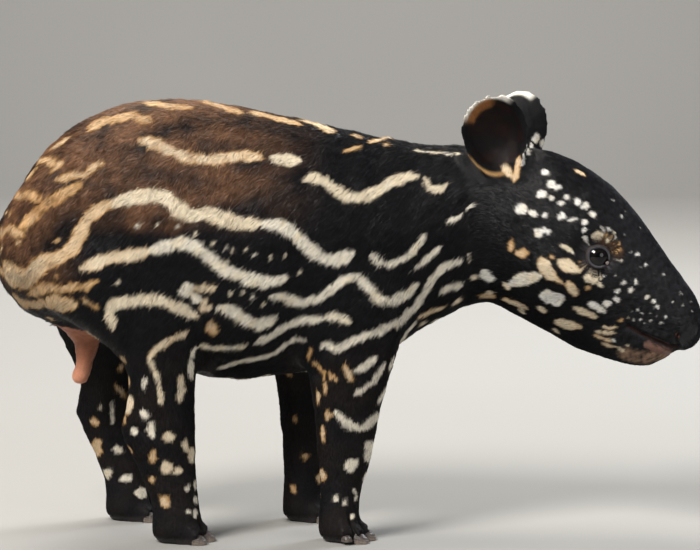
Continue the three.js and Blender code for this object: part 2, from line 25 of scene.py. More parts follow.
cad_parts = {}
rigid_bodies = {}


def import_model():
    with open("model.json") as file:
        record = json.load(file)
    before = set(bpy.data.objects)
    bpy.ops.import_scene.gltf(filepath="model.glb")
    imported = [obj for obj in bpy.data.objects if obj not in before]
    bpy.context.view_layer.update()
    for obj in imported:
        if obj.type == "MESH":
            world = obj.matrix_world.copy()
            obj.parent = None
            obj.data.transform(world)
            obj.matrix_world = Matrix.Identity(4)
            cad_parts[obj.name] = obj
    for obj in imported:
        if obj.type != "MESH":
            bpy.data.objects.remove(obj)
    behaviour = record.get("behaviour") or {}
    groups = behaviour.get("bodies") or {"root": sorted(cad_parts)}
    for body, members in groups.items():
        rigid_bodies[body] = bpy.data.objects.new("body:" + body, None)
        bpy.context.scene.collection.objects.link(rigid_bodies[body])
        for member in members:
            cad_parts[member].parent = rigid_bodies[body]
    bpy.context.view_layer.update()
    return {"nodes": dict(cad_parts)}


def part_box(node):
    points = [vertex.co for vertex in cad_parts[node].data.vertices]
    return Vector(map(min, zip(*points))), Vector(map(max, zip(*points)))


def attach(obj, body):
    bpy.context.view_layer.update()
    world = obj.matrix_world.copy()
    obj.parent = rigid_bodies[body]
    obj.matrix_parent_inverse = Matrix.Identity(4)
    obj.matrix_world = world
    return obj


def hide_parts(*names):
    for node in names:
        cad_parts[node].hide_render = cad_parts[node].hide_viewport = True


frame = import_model()

LOG = logging.getLogger("tapir_calf")
BODY = "root"
MM = 0.001
TONE = "tone"
BARE = "bare"
FAR_AWAY = 1.0
EYES_ALONG = 0.26
GAZE_TURN = radians(25.0)

Colour = tuple[float, float, float]
Pixel = tuple[float, float]
Place = tuple[float, float, float]
Array = np.ndarray
Material = bpy.types.Material
Node = bpy.types.Node
Piece = bpy.types.Object


class Side(Enum):
    """The animal's sides. The right one is nearest the camera."""

    LEFT = 1
    RIGHT = -1


class Limb(Enum):
    """What a mark lies on, which says how it is carried to the other side."""

    BODY = "body"
    HIND = "hind"
    FORE = "fore"


class Slot(Enum):
    """The finishes that the record names."""

    COAT = "coat"
    BARE_SKIN = "bare_skin"
    HOOF = "hoof"
    EYE = "eye"


# Small helpers for arrays, meshes and selections


def ramp(start: float, end: float, value: Array) -> Array:
    """Goes smoothly from 0 at start to 1 at end."""
    t = np.clip((value - start) / (end - start), 0.0, 1.0)
    return t * t * (3.0 - 2.0 * t)


def fall(start: float, end: float, value: Array) -> Array:
    """Goes smoothly from 1 at start to 0 at end."""
    return 1.0 - ramp(start, end, value)


def bell(value: Array, width: float) -> Array:
    """1 at 0, and a smooth fall to both sides over the width."""
    return np.exp(-((value / width) ** 2))


def unit(vectors: Array) -> Array:
    """The same directions with a length of one."""
    length = np.linalg.norm(vectors, axis=-1, keepdims=True)
    return vectors / np.maximum(length, 1e-9)


def blend(low: Array | float, high: Array | float, share: Array) -> Array:
    """Goes from low to high as the share goes from 0 to 1."""
    return low * (1.0 - share) + high * share


def mix(low: Array, high: Array, share: Array) -> Array:
    """Blends rows of colours or vectors by a share for each row."""
    return blend(np.asarray(low), np.asarray(high), np.asarray(share)[..., None])


def read(items: bpy.types.bpy_prop_collection, name: str, width: int, kind: type = np.float32) -> Array:
    """Reads one property of all of a mesh's items.

    Args:
        items: the vertices, edges, faces or corners.
        name: the property.
        width: how many numbers each item has.
        kind: the numbers' type.

    Returns:
        One row for each item, or a flat array where the width is 1.
    """
    values = np.empty(len(items) * width, kind)
    items.foreach_get(name, values)
    return values.reshape(-1, width) if width > 1 else values


def middle_of(node: str) -> Vector:
    """The middle of a node's box."""
    low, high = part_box(node)
    return (low + high) / 2


def in_box(points: Array, node: str, below: float = 0.0, above: float = 0.0) -> Array:
    """Tells which points lie in a node's box, made larger by these margins."""
    low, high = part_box(node)
    return ((points > np.array(low) - below) & (points < np.array(high) + above)).all(axis=1)


def store(items: bpy.types.bpy_prop_collection, name: str, values: Array) -> None:
    """Writes one property of all of a mesh's items."""
    items.foreach_set(name, values.astype(np.float32).ravel())


def paint(mesh: bpy.types.Mesh, tones: Array) -> None:
    """Stores one colour for each point of a mesh."""
    layer = mesh.color_attributes.new(TONE, "FLOAT_COLOR", "POINT")
    store(layer.data, "color", np.concatenate([tones, np.ones((len(tones), 1))], axis=1))


def deselect_all() -> None:
    """Leaves no object selected."""
    if bpy.context.object and bpy.context.object.mode != "OBJECT":
        bpy.ops.object.mode_set(mode="OBJECT")
    bpy.ops.object.select_all(action="DESELECT")


def make_active(piece: Piece) -> None:
    """Leaves only this object selected, and active."""
    deselect_all()
    piece.select_set(True)
    bpy.context.view_layer.objects.active = piece


def apply_modifier(piece: Piece, kind: str, **settings: object) -> None:
    """Adds a modifier with its settings and applies it."""
    make_active(piece)
    modifier = piece.modifiers.new(kind.lower(), kind)
    for name, value in settings.items():
        setattr(modifier, name, value)
    bpy.ops.object.modifier_apply(modifier=modifier.name)


@contextmanager
def editing(piece: Piece, kind: str = "VERT", action: str = "SELECT") -> Iterator[None]:
    """Edit mode on one piece, choosing vertices, edges or faces, with all, none or the same ones selected."""
    make_active(piece)
    bpy.ops.object.mode_set(mode="EDIT")
    bpy.ops.mesh.select_mode(type=kind)
    if action:
        bpy.ops.mesh.select_all(action=action)
    yield
    bpy.ops.object.mode_set(mode="OBJECT")


def merged_copy(node: str, name: str) -> Piece:
    """A copy of a solid whose loose triangles are merged into one shell."""
    copy = add_object(name, frame["nodes"][node].data.copy())
    copy.data.name = name
    with editing(copy):
        bpy.ops.mesh.remove_doubles(threshold=1e-5)
    copy.data.materials.clear()
    return copy


def add_object(name: str, mesh: bpy.types.Mesh) -> Piece:
    """Puts a mesh in the scene as an object."""
    piece = bpy.data.objects.new(name, mesh)
    bpy.context.scene.collection.objects.link(piece)
    return piece


def name_new(name: str) -> Piece:
    """Names the object that was just added, and its data."""
    piece = bpy.context.active_object
    piece.name = piece.data.name = name
    return piece


def finish_piece(piece: Piece, nodes: list[str]) -> None:
    """Lets a piece ride on the body, and hides the solids that it stands for."""
    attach(piece, BODY)
    if nodes:
        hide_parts(*nodes)
    LOG.info("%s: %d faces", piece.name, len(piece.data.polygons))


def dress(piece: Piece, material: Material, nodes: list[str]) -> None:
    """Gives a piece its only material and smooth faces, and finishes it."""
    piece.data.materials.clear()
    piece.data.materials.append(material)
    make_active(piece)
    bpy.ops.object.shade_smooth()
    finish_piece(piece, nodes)


class Ripple:
    """A smooth seeded noise made of a few sine waves, mostly between -1 and 1."""

    def __init__(self, wave: float, seed: int, count: int = 10) -> None:
        """Draws the waves.

        Args:
            wave: their mean length, in metres.
            seed: which noise it is.
            count: how many waves are added.
        """
        rng = np.random.default_rng(seed)
        turns = unit(rng.normal(size=(count, 3)))
        self.waves = turns * (2.0 * pi / wave) * rng.uniform(0.6, 1.5, (count, 1))
        self.starts = rng.uniform(0.0, 2.0 * pi, count)
        self.share = 0.9 / math.sqrt(count)

    def at(self, points: Array) -> Array:
        """The noise at each point."""
        return np.sin(points @ self.waves.T + self.starts).sum(axis=1) * self.share


# The camera, the bent midline, the legs' stance and the ears' own frame


@dataclass(frozen=True)
class PhotoCamera:
    """The camera, three metres off the animal's right side and a little above it."""

    width_px: int = 700
    height_px: int = 550
    focal_px: float = 3000.0
    distance: float = 3.0
    elevation: float = radians(5.5)
    aim: Place = (0.0124, 0.0, 0.258)
    sensor_mm: float = 36.0

    def place(self) -> Array:
        """Where the camera stands."""
        back = np.array([0.0, -cos(self.elevation), sin(self.elevation)])
        return np.array(self.aim) + back * self.distance

    def ray(self, px: float, py: float) -> Array:
        """The direction from the camera through a pixel."""
        ahead = np.array([0.0, cos(self.elevation), -sin(self.elevation)])
        up = np.array([0.0, sin(self.elevation), cos(self.elevation)])
        right = np.array([1.0, 0.0, 0.0])
        across = px - self.width_px / 2
        rise = self.height_px / 2 - py
        return unit(ahead * self.focal_px + right * across + up * rise)

    def make(self) -> None:
        """Adds the camera and makes it the scene's own."""
        bpy.ops.object.camera_add(location=self.place())
        camera = name_new("camera")
        camera.rotation_euler = (radians(90.0) - self.elevation, 0.0, 0.0)
        camera.data.sensor_fit = "HORIZONTAL"
        camera.data.sensor_width = self.sensor_mm
        camera.data.lens = self.focal_px / self.width_px * self.sensor_mm
        camera.data.clip_end = 60.0
        bpy.context.scene.camera = camera


@dataclass
class BodyAxis:
    """The midline seen from above: straight along the trunk, then bent to the right at the neck."""

    head_yaw: float = radians(-18.0)
    bend_start: float = 0.0974
    bend_end: float = 0.2024
    reach: float = 0.5
    along: Array = field(init=False)
    offset: Array = field(init=False)

    def __post_init__(self) -> None:
        """Adds up the midline's sideways offset along the body."""
        self.along = np.linspace(-self.reach, self.reach, 2001)
        slope = np.tan(self.heading(self.along))
        step = self.along[1] - self.along[0]
        self.offset = np.concatenate([[0.0], np.cumsum((slope[1:] + slope[:-1]) / 2 * step)])

    def heading(self, along: Array) -> Array:
        """The midline's turn from +X there."""
        return self.head_yaw * ramp(self.bend_start, self.bend_end, along)

    def to_body(self, points: Array) -> tuple[Array, Array]:
        """Finds places along and out from the midline.

        Args:
            points: rows of x, y, z.

        Returns:
            How far along each point is, and how far out to the animal's left.
        """
        along = points[:, 0].copy()
        for _ in range(8):
            turn = self.heading(along)
            dx = points[:, 0] - along
            dy = points[:, 1] - np.interp(along, self.along, self.offset)
            along += (dx * np.cos(turn) + dy * np.sin(turn)) * np.cos(turn)
        return along, dy * np.cos(turn) - dx * np.sin(turn)

    def from_body(self, along: Array, out: Array, z: Array) -> Array:
        """Points from places along the midline, out from it and up."""
        turn = self.heading(along)
        x = along - out * np.sin(turn)
        y = np.interp(along, self.along, self.offset) + out * np.cos(turn)
        return np.stack([x, y, z], axis=-1)

    def ahead(self, along: Array) -> Array:
        """The midline's direction as vectors."""
        turn = self.heading(along)
        return np.stack([np.cos(turn), np.sin(turn), np.zeros_like(turn)], axis=-1)

    def mirrored(self, points: Array) -> Array:
        """The same places on the body's other side."""
        along, out = self.to_body(points)
        return self.from_body(along, -out, points[:, 2])


@dataclass(frozen=True)
class LegStance:
    """How far back the left legs stand, and where the lower legs are, from the nodes' boxes."""

    top_z: float = 0.290
    low_z: float = 0.165
    hind_top: float = -0.006
    fore_top: float = -0.008
    margin: float = 0.012

    def set_back(self, limb: Limb, z: Array) -> Array:
        """How far the left leg stands from the right one along X, at each height."""
        top = self.hind_top if limb is Limb.HIND else self.fore_top
        name = limb.value
        foot = middle_of(f"{name}_left_foot").x - middle_of(f"{name}_right_foot").x
        return foot + (top - foot) * ramp(self.low_z, self.top_z, z)

    def mirrored(self, limb: Limb, points: Array, start: Side) -> Array:
        """The same places on the other leg of the pair."""
        shift = self.set_back(limb, points[:, 2]) * -start.value
        return np.stack([points[:, 0] + shift, -points[:, 1], points[:, 2]], axis=-1)

    def share(self, points: Array) -> Array:
        """1 on the lower legs and 0 on the trunk."""
        near = np.zeros(len(points))
        for node in ("hind_right_shank", "hind_left_shank", "fore_right_forearm", "fore_left_forearm"):
            low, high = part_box(node)
            middle = middle_of(node)
            dx = np.abs(points[:, 0] - middle.x) / ((high.x - low.x) / 2 + self.margin)
            dy = np.abs(points[:, 1] - middle.y) / ((high.y - low.y) / 2 + self.margin)
            near = np.maximum(near, fall(0.95, 1.5, np.maximum(dx, dy)))
        return near * fall(0.150, 0.225, points[:, 2])


@dataclass(frozen=True)
class EarFrame:
    """Where the ears' oval cups sit on the straight part of the head's midline, and their turn."""

    axis: BodyAxis
    along: float = 0.1704
    out: float = 0.050
    level: float = 0.3995
    half: float = 0.0335
    high: float = 0.0425
    turn: float = radians(20.0)
    lean: float = radians(12.0)
    splay: float = radians(8.0)

    def turned(self) -> Array:
        """The turn from an ear's own frame to the head's."""
        about_z = Matrix.Rotation(-self.turn, 3, "Z")
        about_x = Matrix.Rotation(-self.splay, 3, "X")
        about_y = Matrix.Rotation(-self.lean, 3, "Y")
        return np.array(about_z @ about_x @ about_y)

    def to_ear(self, points: Array, side: Side) -> Array:
        """Places in one ear's own frame: forwards, out of the cup, and up to its tip."""
        yaw = self.axis.head_yaw
        straight = float(np.interp(0.25, self.axis.along, self.axis.offset)) - 0.25 * math.tan(yaw)
        y = points[:, 1] - straight
        ahead = points[:, 0] * cos(yaw) + y * sin(yaw)
        out = y * cos(yaw) - points[:, 0] * sin(yaw)
        across = side.value * out - self.out
        placed = np.stack([ahead - self.along / cos(yaw), across, points[:, 2] - self.level], axis=-1)
        return placed @ self.turned()

    def to_model(self, vectors: Array, side: Side) -> Array:
        """Directions in the model's frame from ones in an ear's own."""
        turned = vectors @ self.turned().T
        yaw = self.axis.head_yaw
        ahead, out = turned[:, 0], turned[:, 1] * side.value
        x = ahead * cos(yaw) - out * sin(yaw)
        y = ahead * sin(yaw) + out * cos(yaw)
        return np.stack([x, y, turned[:, 2]], axis=-1)

    def share(self, points: Array) -> tuple[Array, Array]:
        """How much of an ear each point is, 1 or 0, and the ear's side as 1 or -1."""
        found = np.zeros(len(points))
        sides = np.ones(len(points))
        for side in Side:
            spot = self.to_ear(points, side)
            radius = np.hypot(spot[:, 0] / self.half, spot[:, 2] / self.high)
            midline = np.interp(points[:, 0], self.axis.along, self.axis.offset)
            inside = (radius < 1.25) & (spot[:, 1] > -0.032) & (spot[:, 1] < 0.012) & (points[:, 2] > 0.352)
            inside &= (points[:, 1] - midline) * side.value > 0
            found[inside] = 1.0
            sides[inside] = side.value
        return found, sides


# The markings, read from the picture: stripes as paths and spots as ovals


@dataclass(frozen=True)
class Stripe:
    """A stripe: its width, how tan it is from 0 to 1, and the pixels that it runs through."""

    width: float
    tan: float
    path: tuple[Pixel, ...]


@dataclass(frozen=True)
class Spots:
    """Oval spots that share a tone, each with its middle, width and height in pixels."""

    tan: float
    ovals: tuple[tuple[float, float, float, float], ...]


BODY_MARKS = (
    # The back
    Stripe(7, 0.9, ((146, 103), (165, 106), (190, 108))),
    Stripe(8, 0.9, ((203, 102), (220, 106), (240, 113))),
    Stripe(7.5, 0.85, ((253, 113), (275, 118), (297, 124))),
    Stripe(6.5, 0.6, ((302, 121), (318, 125), (333, 133))),
    Stripe(8.5, 0.9, ((90, 130), (100, 122), (118, 119), (130, 115), (150, 122))),
    Stripe(6.2, 0.8, ((52, 149), (68, 139))),
    Stripe(6.2, 0.8, ((52, 172), (62, 161))),
    Stripe(6.2, 0.9, ((28, 178), (36, 170))),
    Stripe(7.2, 0.8, ((58, 180), (75, 175), (85, 176), (95, 165), (103, 165))),
    Stripe(10.5, 1.0, ((20, 228), (35, 215), (48, 203), (60, 197), (80, 185))),
    Stripe(3.5, 0.7, ((345, 152), (352, 149), (360, 146))),
    Stripe(2.5, 0.6, ((353, 135), (360, 138))),
    Stripe(3, 0.6, ((368, 143), (378, 140), (390, 138))),
    Stripe(1.6, 0.2, ((418, 141), (440, 144), (460, 146))),
    # The flank
    Stripe(11, 0.65, ((140, 140), (155, 144), (170, 151), (185, 157), (205, 160), (215, 161), (230, 157),
        (245, 156), (260, 158))),
    Stripe(12.5, 0.3, ((273, 159), (285, 160), (297, 161))),
    Stripe(14, 0.75, ((8, 265), (10, 279), (25, 282), (35, 272), (42, 263), (60, 258), (72, 250), (78, 240),
        (82, 228), (88, 218), (97, 210), (110, 204))),
    Stripe(13, 0.35, ((110, 204), (130, 199), (150, 195), (163, 196), (172, 203), (182, 212), (195, 217),
        (205, 212), (220, 218), (240, 224), (260, 224))),
    Stripe(11, 0.1, ((260, 224), (280, 225), (290, 231), (300, 240), (310, 250), (322, 258), (335, 261),
        (345, 258), (352, 253))),
    Stripe(11, 0.45, ((82, 269), (95, 264), (110, 258), (130, 256), (150, 251))),
    Stripe(11, 0.15, ((150, 251), (165, 247), (180, 243), (192, 245), (205, 254), (218, 266), (230, 273),
        (245, 278), (260, 282), (272, 283), (285, 278))),
    Stripe(7.8, 0.15, ((272, 297), (285, 297), (297, 303), (308, 302), (320, 298), (330, 291), (340, 282),
        (352, 277), (357, 278), (365, 284), (372, 293), (380, 301), (390, 302), (402, 298), (410, 292),
        (417, 284))),
    Stripe(9.6, 0.3, ((305, 180), (315, 178), (325, 182), (335, 190), (345, 197), (357, 199), (370, 195),
        (385, 186), (400, 178), (418, 176))),
    Stripe(6, 0.3, ((425, 179), (430, 188), (440, 190), (446, 184))),
    Stripe(6.4, 0.15, ((371, 255), (378, 262), (390, 265), (402, 260), (415, 249), (425, 237))),
    Stripe(5.2, 0.1, ((415, 268), (425, 261), (433, 254), (440, 248))),
    Stripe(5, 0.05, ((448, 222), (461, 216))),
    Stripe(2, 0.05, ((466, 209), (475, 204))),
    Stripe(7, 0.1, ((322, 347), (327, 344), (335, 350), (345, 345), (360, 338), (380, 331), (400, 322),
        (415, 308), (425, 292), (435, 276), (445, 266), (460, 262))),
    Stripe(6.2, 0.1, ((440, 292), (450, 287), (462, 286))),
    Stripe(4, 0.1, ((400, 342), (408, 330), (415, 322))),
    Stripe(4, 0.5, ((418, 318), (430, 312), (445, 307))),
    # The belly
    Stripe(10.5, 0.15, ((218, 308), (230, 310), (242, 318), (255, 325), (265, 324), (274, 318))),
    Stripe(6.2, 0.1, ((257, 343), (268, 338), (280, 330), (292, 323), (305, 320), (322, 320))),
    Stripe(6, 0.2, ((325, 318), (335, 316), (345, 320), (350, 323))),
    Stripe(4, 0.2, ((200, 346), (215, 348), (230, 348), (247, 346))),
    Stripe(4, 0.1, ((220, 368), (240, 361), (260, 358), (275, 353), (285, 345), (295, 339), (305, 341))),
    # The rump
    Stripe(10, 0.3, ((113, 327), (109, 315), (110, 306), (120, 303), (140, 300), (160, 300), (175, 306),
        (190, 314), (197, 317))),
    Stripe(7.2, 0.9, ((30, 295), (45, 287), (60, 289), (75, 287), (88, 289))),
    Stripe(6.2, 0.8, ((82, 287), (97, 282))),
    Stripe(14.5, 0.75, ((50, 303), (62, 305), (75, 304))),
    Stripe(4, 0.8, ((82, 300), (97, 308))),
    Stripe(11.5, 0.9, ((17, 298), (25, 305))),
    Spots(0.2, (
        (138, 226, 4, 3), (157, 224, 4, 3), (178, 226, 3, 3), (195, 234, 3, 3), (214, 243, 4, 3),
        (225, 248, 3, 3), (233, 251, 3, 3), (245, 251, 3, 4), (255, 254, 4, 3), (270, 258, 3, 4),
        (284, 257, 3, 3), (300, 272, 3, 3), (230, 294, 4, 3), (243, 293, 4, 3), (253, 298, 4, 4),
        (263, 305, 3, 4), (469, 258, 2, 10), (117, 283, 5, 4),
    )),
    Spots(0.7, (
        (57, 276, 6, 4), (57, 241, 6, 4), (18, 244, 5, 5), (37, 320, 5, 4), (50, 318, 5, 4),
        (212, 330, 11, 10), (310, 353, 3, 14),
    )),
    Spots(0.1, ((186, 291, 17, 14), (196, 298, 12, 9))),
    Spots(0.4, ((205, 288, 24, 9), (206, 306, 8, 13))),
)
HIND_MARKS = (
    Stripe(6, 0.4, ((187, 333), (175, 338), (163, 345), (153, 351), (149, 358))),
    Stripe(4, 0.3, ((153, 351), (149, 359), (154, 370), (158, 380), (162, 404))),
    Spots(0.1, (
        (193, 352, 5, 14), (191, 370, 7, 20), (144, 383, 6, 14), (144, 415, 8, 11), (151, 431, 6, 17),
        (135, 431, 6, 7), (196, 484, 4, 9), (188, 489, 5, 6), (195, 500, 4, 6), (189, 512, 4, 4),
        (196, 514, 5, 8), (196, 420, 4, 22),
    )),
    Spots(0.35, (
        (181, 388, 7, 30), (129, 405, 9, 11), (169, 437, 12, 9), (185, 446, 7, 11), (192, 455, 7, 18),
        (167, 468, 12, 12), (178, 471, 7, 7),
    )),
    Spots(0.7, ((125, 420, 4, 8), (153, 457, 8, 14), (165, 502, 12, 10), (152, 480, 6, 5))),
)
FORE_MARKS = (
    Stripe(6, 0.6, ((344, 366), (352, 380))),
    Stripe(7, 0.05, ((355, 371), (365, 367), (375, 358))),
    Stripe(5, 0.05, ((355, 395), (365, 389), (374, 381), (380, 372), (384, 364))),
    Stripe(3.5, 0.0, ((378, 403), (383, 394), (387, 385), (390, 377))),
    Stripe(3.5, 0.0, ((389, 370), (394, 356))),
    Stripe(7, 0.05, ((335, 413), (341, 418), (347, 425), (355, 428), (364, 429), (372, 421), (379, 416))),
    Stripe(4, 0.8, ((329, 373), (337, 381))),
    Stripe(2.2, 0.8, ((312, 362), (325, 373), (323, 380))),
    Spots(0.05, (
        (370, 449, 10, 13), (350, 466, 15, 11), (365, 477, 5, 5), (354, 492, 3, 5), (356, 498, 3, 6),
        (345, 502, 4, 5), (335, 498, 6, 6), (352, 516, 5, 7),
    )),
    Spots(0.6, (
        (325, 388, 5, 14), (318, 397, 5, 14), (328, 415, 5, 8), (323, 434, 5, 16), (322, 476, 12, 9),
    )),
)
FAR_HIND_MARKS = (
    Stripe(5, 0.6, ((115, 385), (120, 391), (125, 397))),
    Spots(0.15, (
        (101, 407, 3, 8), (112, 413, 4, 22), (118, 450, 10, 8), (107, 472, 9, 8), (126, 479, 16, 7),
        (140, 494, 14, 9),
    )),
    Spots(0.7, ((121, 367, 6, 6), (95, 422, 10, 9), (97, 447, 9, 14))),
)
FAR_FORE_MARKS = (
    Spots(0.8, ((290, 374, 5, 8), (295, 420, 5, 9), (305, 457, 6, 7), (293, 490, 6, 6))),
)
HEAD_MARKS = (
    Stripe(3, 0.05, ((600, 226), (603, 229), (605, 232))),
    Stripe(3, 0.05, ((606, 227), (609, 228), (611, 231))),
    Stripe(3, 0.1, ((612, 231), (614, 233), (615, 235))),
    Stripe(2.5, 0.05, ((614, 236), (616, 238), (617, 240))),
    Stripe(4.5, 0.2, ((561, 246), (567, 248), (573, 252))),
    Stripe(12, 0.4, ((561, 262), (568, 266), (579, 271))),
    Stripe(7, 0.3, ((586, 277), (592, 281))),
    Stripe(4, 0.2, ((597, 283), (603, 287))),
    Stripe(8.5, 0.5, ((568, 283), (572, 289), (576, 295))),
    Stripe(4.5, 0.5, ((553, 276), (558, 280), (562, 283))),
    Stripe(12, 0.45, ((541, 261), (546, 270), (554, 278))),
    Stripe(11, 0.15, ((511, 284), (522, 279), (540, 276))),
    Stripe(6.5, 0.45, ((503, 299), (515, 303), (526, 308))),
    Stripe(7.5, 0.1, ((589, 303), (597, 307), (603, 312))),
    Stripe(8, 0.35, ((575, 308), (584, 312), (595, 317))),
    Stripe(10, 0.4, ((557, 322), (568, 325), (580, 327))),
    Stripe(3.8, 0.4, ((601, 326), (609, 328), (618, 327))),
    Stripe(4.2, 0.35, ((596, 332), (606, 333), (616, 333))),
    Stripe(4.8, 0.45, ((595, 335), (602, 338), (611, 341))),
    Stripe(4.2, 0.4, ((602, 343), (610, 346), (618, 347))),
    Stripe(4, 0.3, ((618, 348), (622, 350), (625, 352))),
    Stripe(4, 0.5, ((574, 170), (579, 172), (585, 176))),
    Stripe(6, 0.45, ((501, 161), (506, 168), (511, 177))),
    Stripe(6, 0.6, ((519, 158), (517, 168), (514, 181))),
    Spots(0.05, (
        (523, 160, 4, 12), (528, 151, 4, 9), (532, 146, 3, 8), (536, 139, 7, 9), (543, 143, 6, 10),
        (545, 173, 8, 6), (551, 184, 8, 9), (557, 187, 8, 6), (541, 194, 8, 9), (551, 198, 5, 4),
        (520, 208, 11, 10), (534, 213, 10, 7), (545, 215, 4, 4), (540, 232, 12, 8), (548, 232, 4, 4),
        (561, 203, 7, 5), (567, 197, 5, 6), (577, 201, 6, 9), (582, 207, 4, 4), (586, 206, 6, 8),
        (592, 214, 7, 7), (561, 216, 9, 7), (573, 219, 9, 3), (585, 222, 6, 6), (584, 230, 5, 5),
        (585, 238, 6, 4), (622, 261, 3, 3), (624, 235, 3, 4), (637, 254, 6, 5), (631, 252, 3, 2),
        (645, 264, 4, 4), (663, 274, 3, 4), (488, 277, 16, 11), (547, 297, 14, 15), (555, 299, 13, 14),
        (615, 275, 2, 3), (623, 282, 5, 6), (636, 282, 5, 5), (618, 291, 7, 5), (631, 290, 6, 6),
        (617, 299, 8, 6), (607, 304, 9, 9), (647, 297, 6, 5), (653, 302, 5, 4), (657, 307, 4, 4),
        (638, 310, 3, 3), (632, 311, 3, 2), (643, 314, 3, 2), (650, 314, 4, 2), (656, 317, 2, 2),
        (666, 317, 4, 3), (661, 323, 7, 3), (650, 321, 4, 3), (640, 320, 4, 3), (645, 323, 2, 2),
        (634, 320, 3, 4), (672, 302, 2, 2), (681, 294, 2, 2), (691, 302, 2, 2), (692, 311, 2, 2),
        (683, 305, 2, 2), (641, 267, 2, 2), (626, 211, 2, 2), (622, 217, 3, 3), (640, 228, 2, 2),
        (613, 200, 2, 2), (613, 340, 5, 4), (604, 276, 3, 3),
    )),
    Spots(0.25, (
        (597, 235, 16, 9), (607, 241, 5, 6), (594, 281, 7, 7), (600, 278, 4, 5), (628, 318, 4, 3),
        (628, 345, 4, 5),
    )),
    Spots(0.7, (
        (611, 237, 3, 4), (607, 234, 4, 3), (614, 244, 3, 6), (619, 244, 3, 5), (620, 249, 4, 5),
        (612, 250, 3, 5), (616, 253, 4, 5), (620, 256, 4, 3), (588, 288, 6, 5), (585, 268, 3, 3),
        (590, 274, 3, 4), (580, 262, 3, 3), (620, 320, 6, 4), (511, 245, 5, 13), (521, 253, 16, 8),
        (487, 296, 18, 9), (552, 257, 4, 5), (550, 272, 5, 10),
    )),
)
# Behind and below, where the picture doesn't reach: millimetres across to the right and up seen
# from behind, and millimetres forwards and to the right seen from below.
REAR_MARKS = (
    Stripe(7, 0.9, ((16, 342), (34, 338), (50, 343), (64, 338))),
    Stripe(6, 0.9, ((18, 372), (36, 376), (52, 371))),
    Stripe(7, 0.9, ((18, 306), (34, 302), (50, 309), (66, 303))),
    Stripe(7, 0.85, ((20, 270), (36, 264), (54, 270), (70, 265))),
    Stripe(6, 0.8, ((28, 238), (44, 232), (60, 238), (72, 234))),
    Spots(0.7, (
        (44, 210, 8, 7), (66, 206, 8, 10), (54, 190, 7, 9), (74, 182, 6, 10), (46, 166, 6, 9),
        (66, 158, 8, 8), (22, 322, 6, 5), (38, 322, 6, 4), (24, 288, 6, 5), (42, 288, 7, 5), (52, 140, 6, 8),
        (72, 132, 5, 9), (60, 116, 7, 6), (50, 96, 6, 7), (70, 92, 5, 8),
    )),
)
UNDER_MARKS = (
    Stripe(5, 0.2, ((-130, 16), (-108, 20), (-86, 15), (-64, 21))),
    Stripe(4, 0.2, ((-44, 14), (-24, 18), (-4, 13))),
    Spots(0.3, (
        (-150, 22, 8, 6), (-146, 44, 8, 6), (14, 16, 8, 6), (34, 10, 7, 6), (48, 22, 7, 6), (66, 12, 8, 6),
        (84, 24, 7, 6), (98, 12, 8, 6), (118, 26, 8, 7), (134, 40, 7, 6), (150, 30, 9, 6), (166, 48, 8, 6),
        (182, 38, 8, 6), (200, 56, 8, 6), (216, 46, 8, 5),
    )),
)


@dataclass
class Trail:
    """A mark, or a fold's line, on the skin: its points there, the way they face, and their radii."""

    points: Array
    normals: Array
    radii: Array
    tan: float

    def gap(self, points: Array, normals: Array) -> Array:
        """How far points lie outside the trail, and less than 0 inside it."""
        apart = np.linalg.norm(points[:, None, :] - self.points[None, :, :], axis=2) - self.radii
        facing = normals @ self.normals.T
        return np.where(facing > 0.15, apart, FAR_AWAY).min(axis=1)


class Caster(Enum):
    """What a mark's two numbers mean, and so from where it is carried to the skin."""

    CAMERA = "pixels of the picture"
    INSIDE = "pixels of the picture, on the far legs' inner sides"
    BEHIND = "millimetres seen from behind"
    BELOW = "millimetres seen from below"


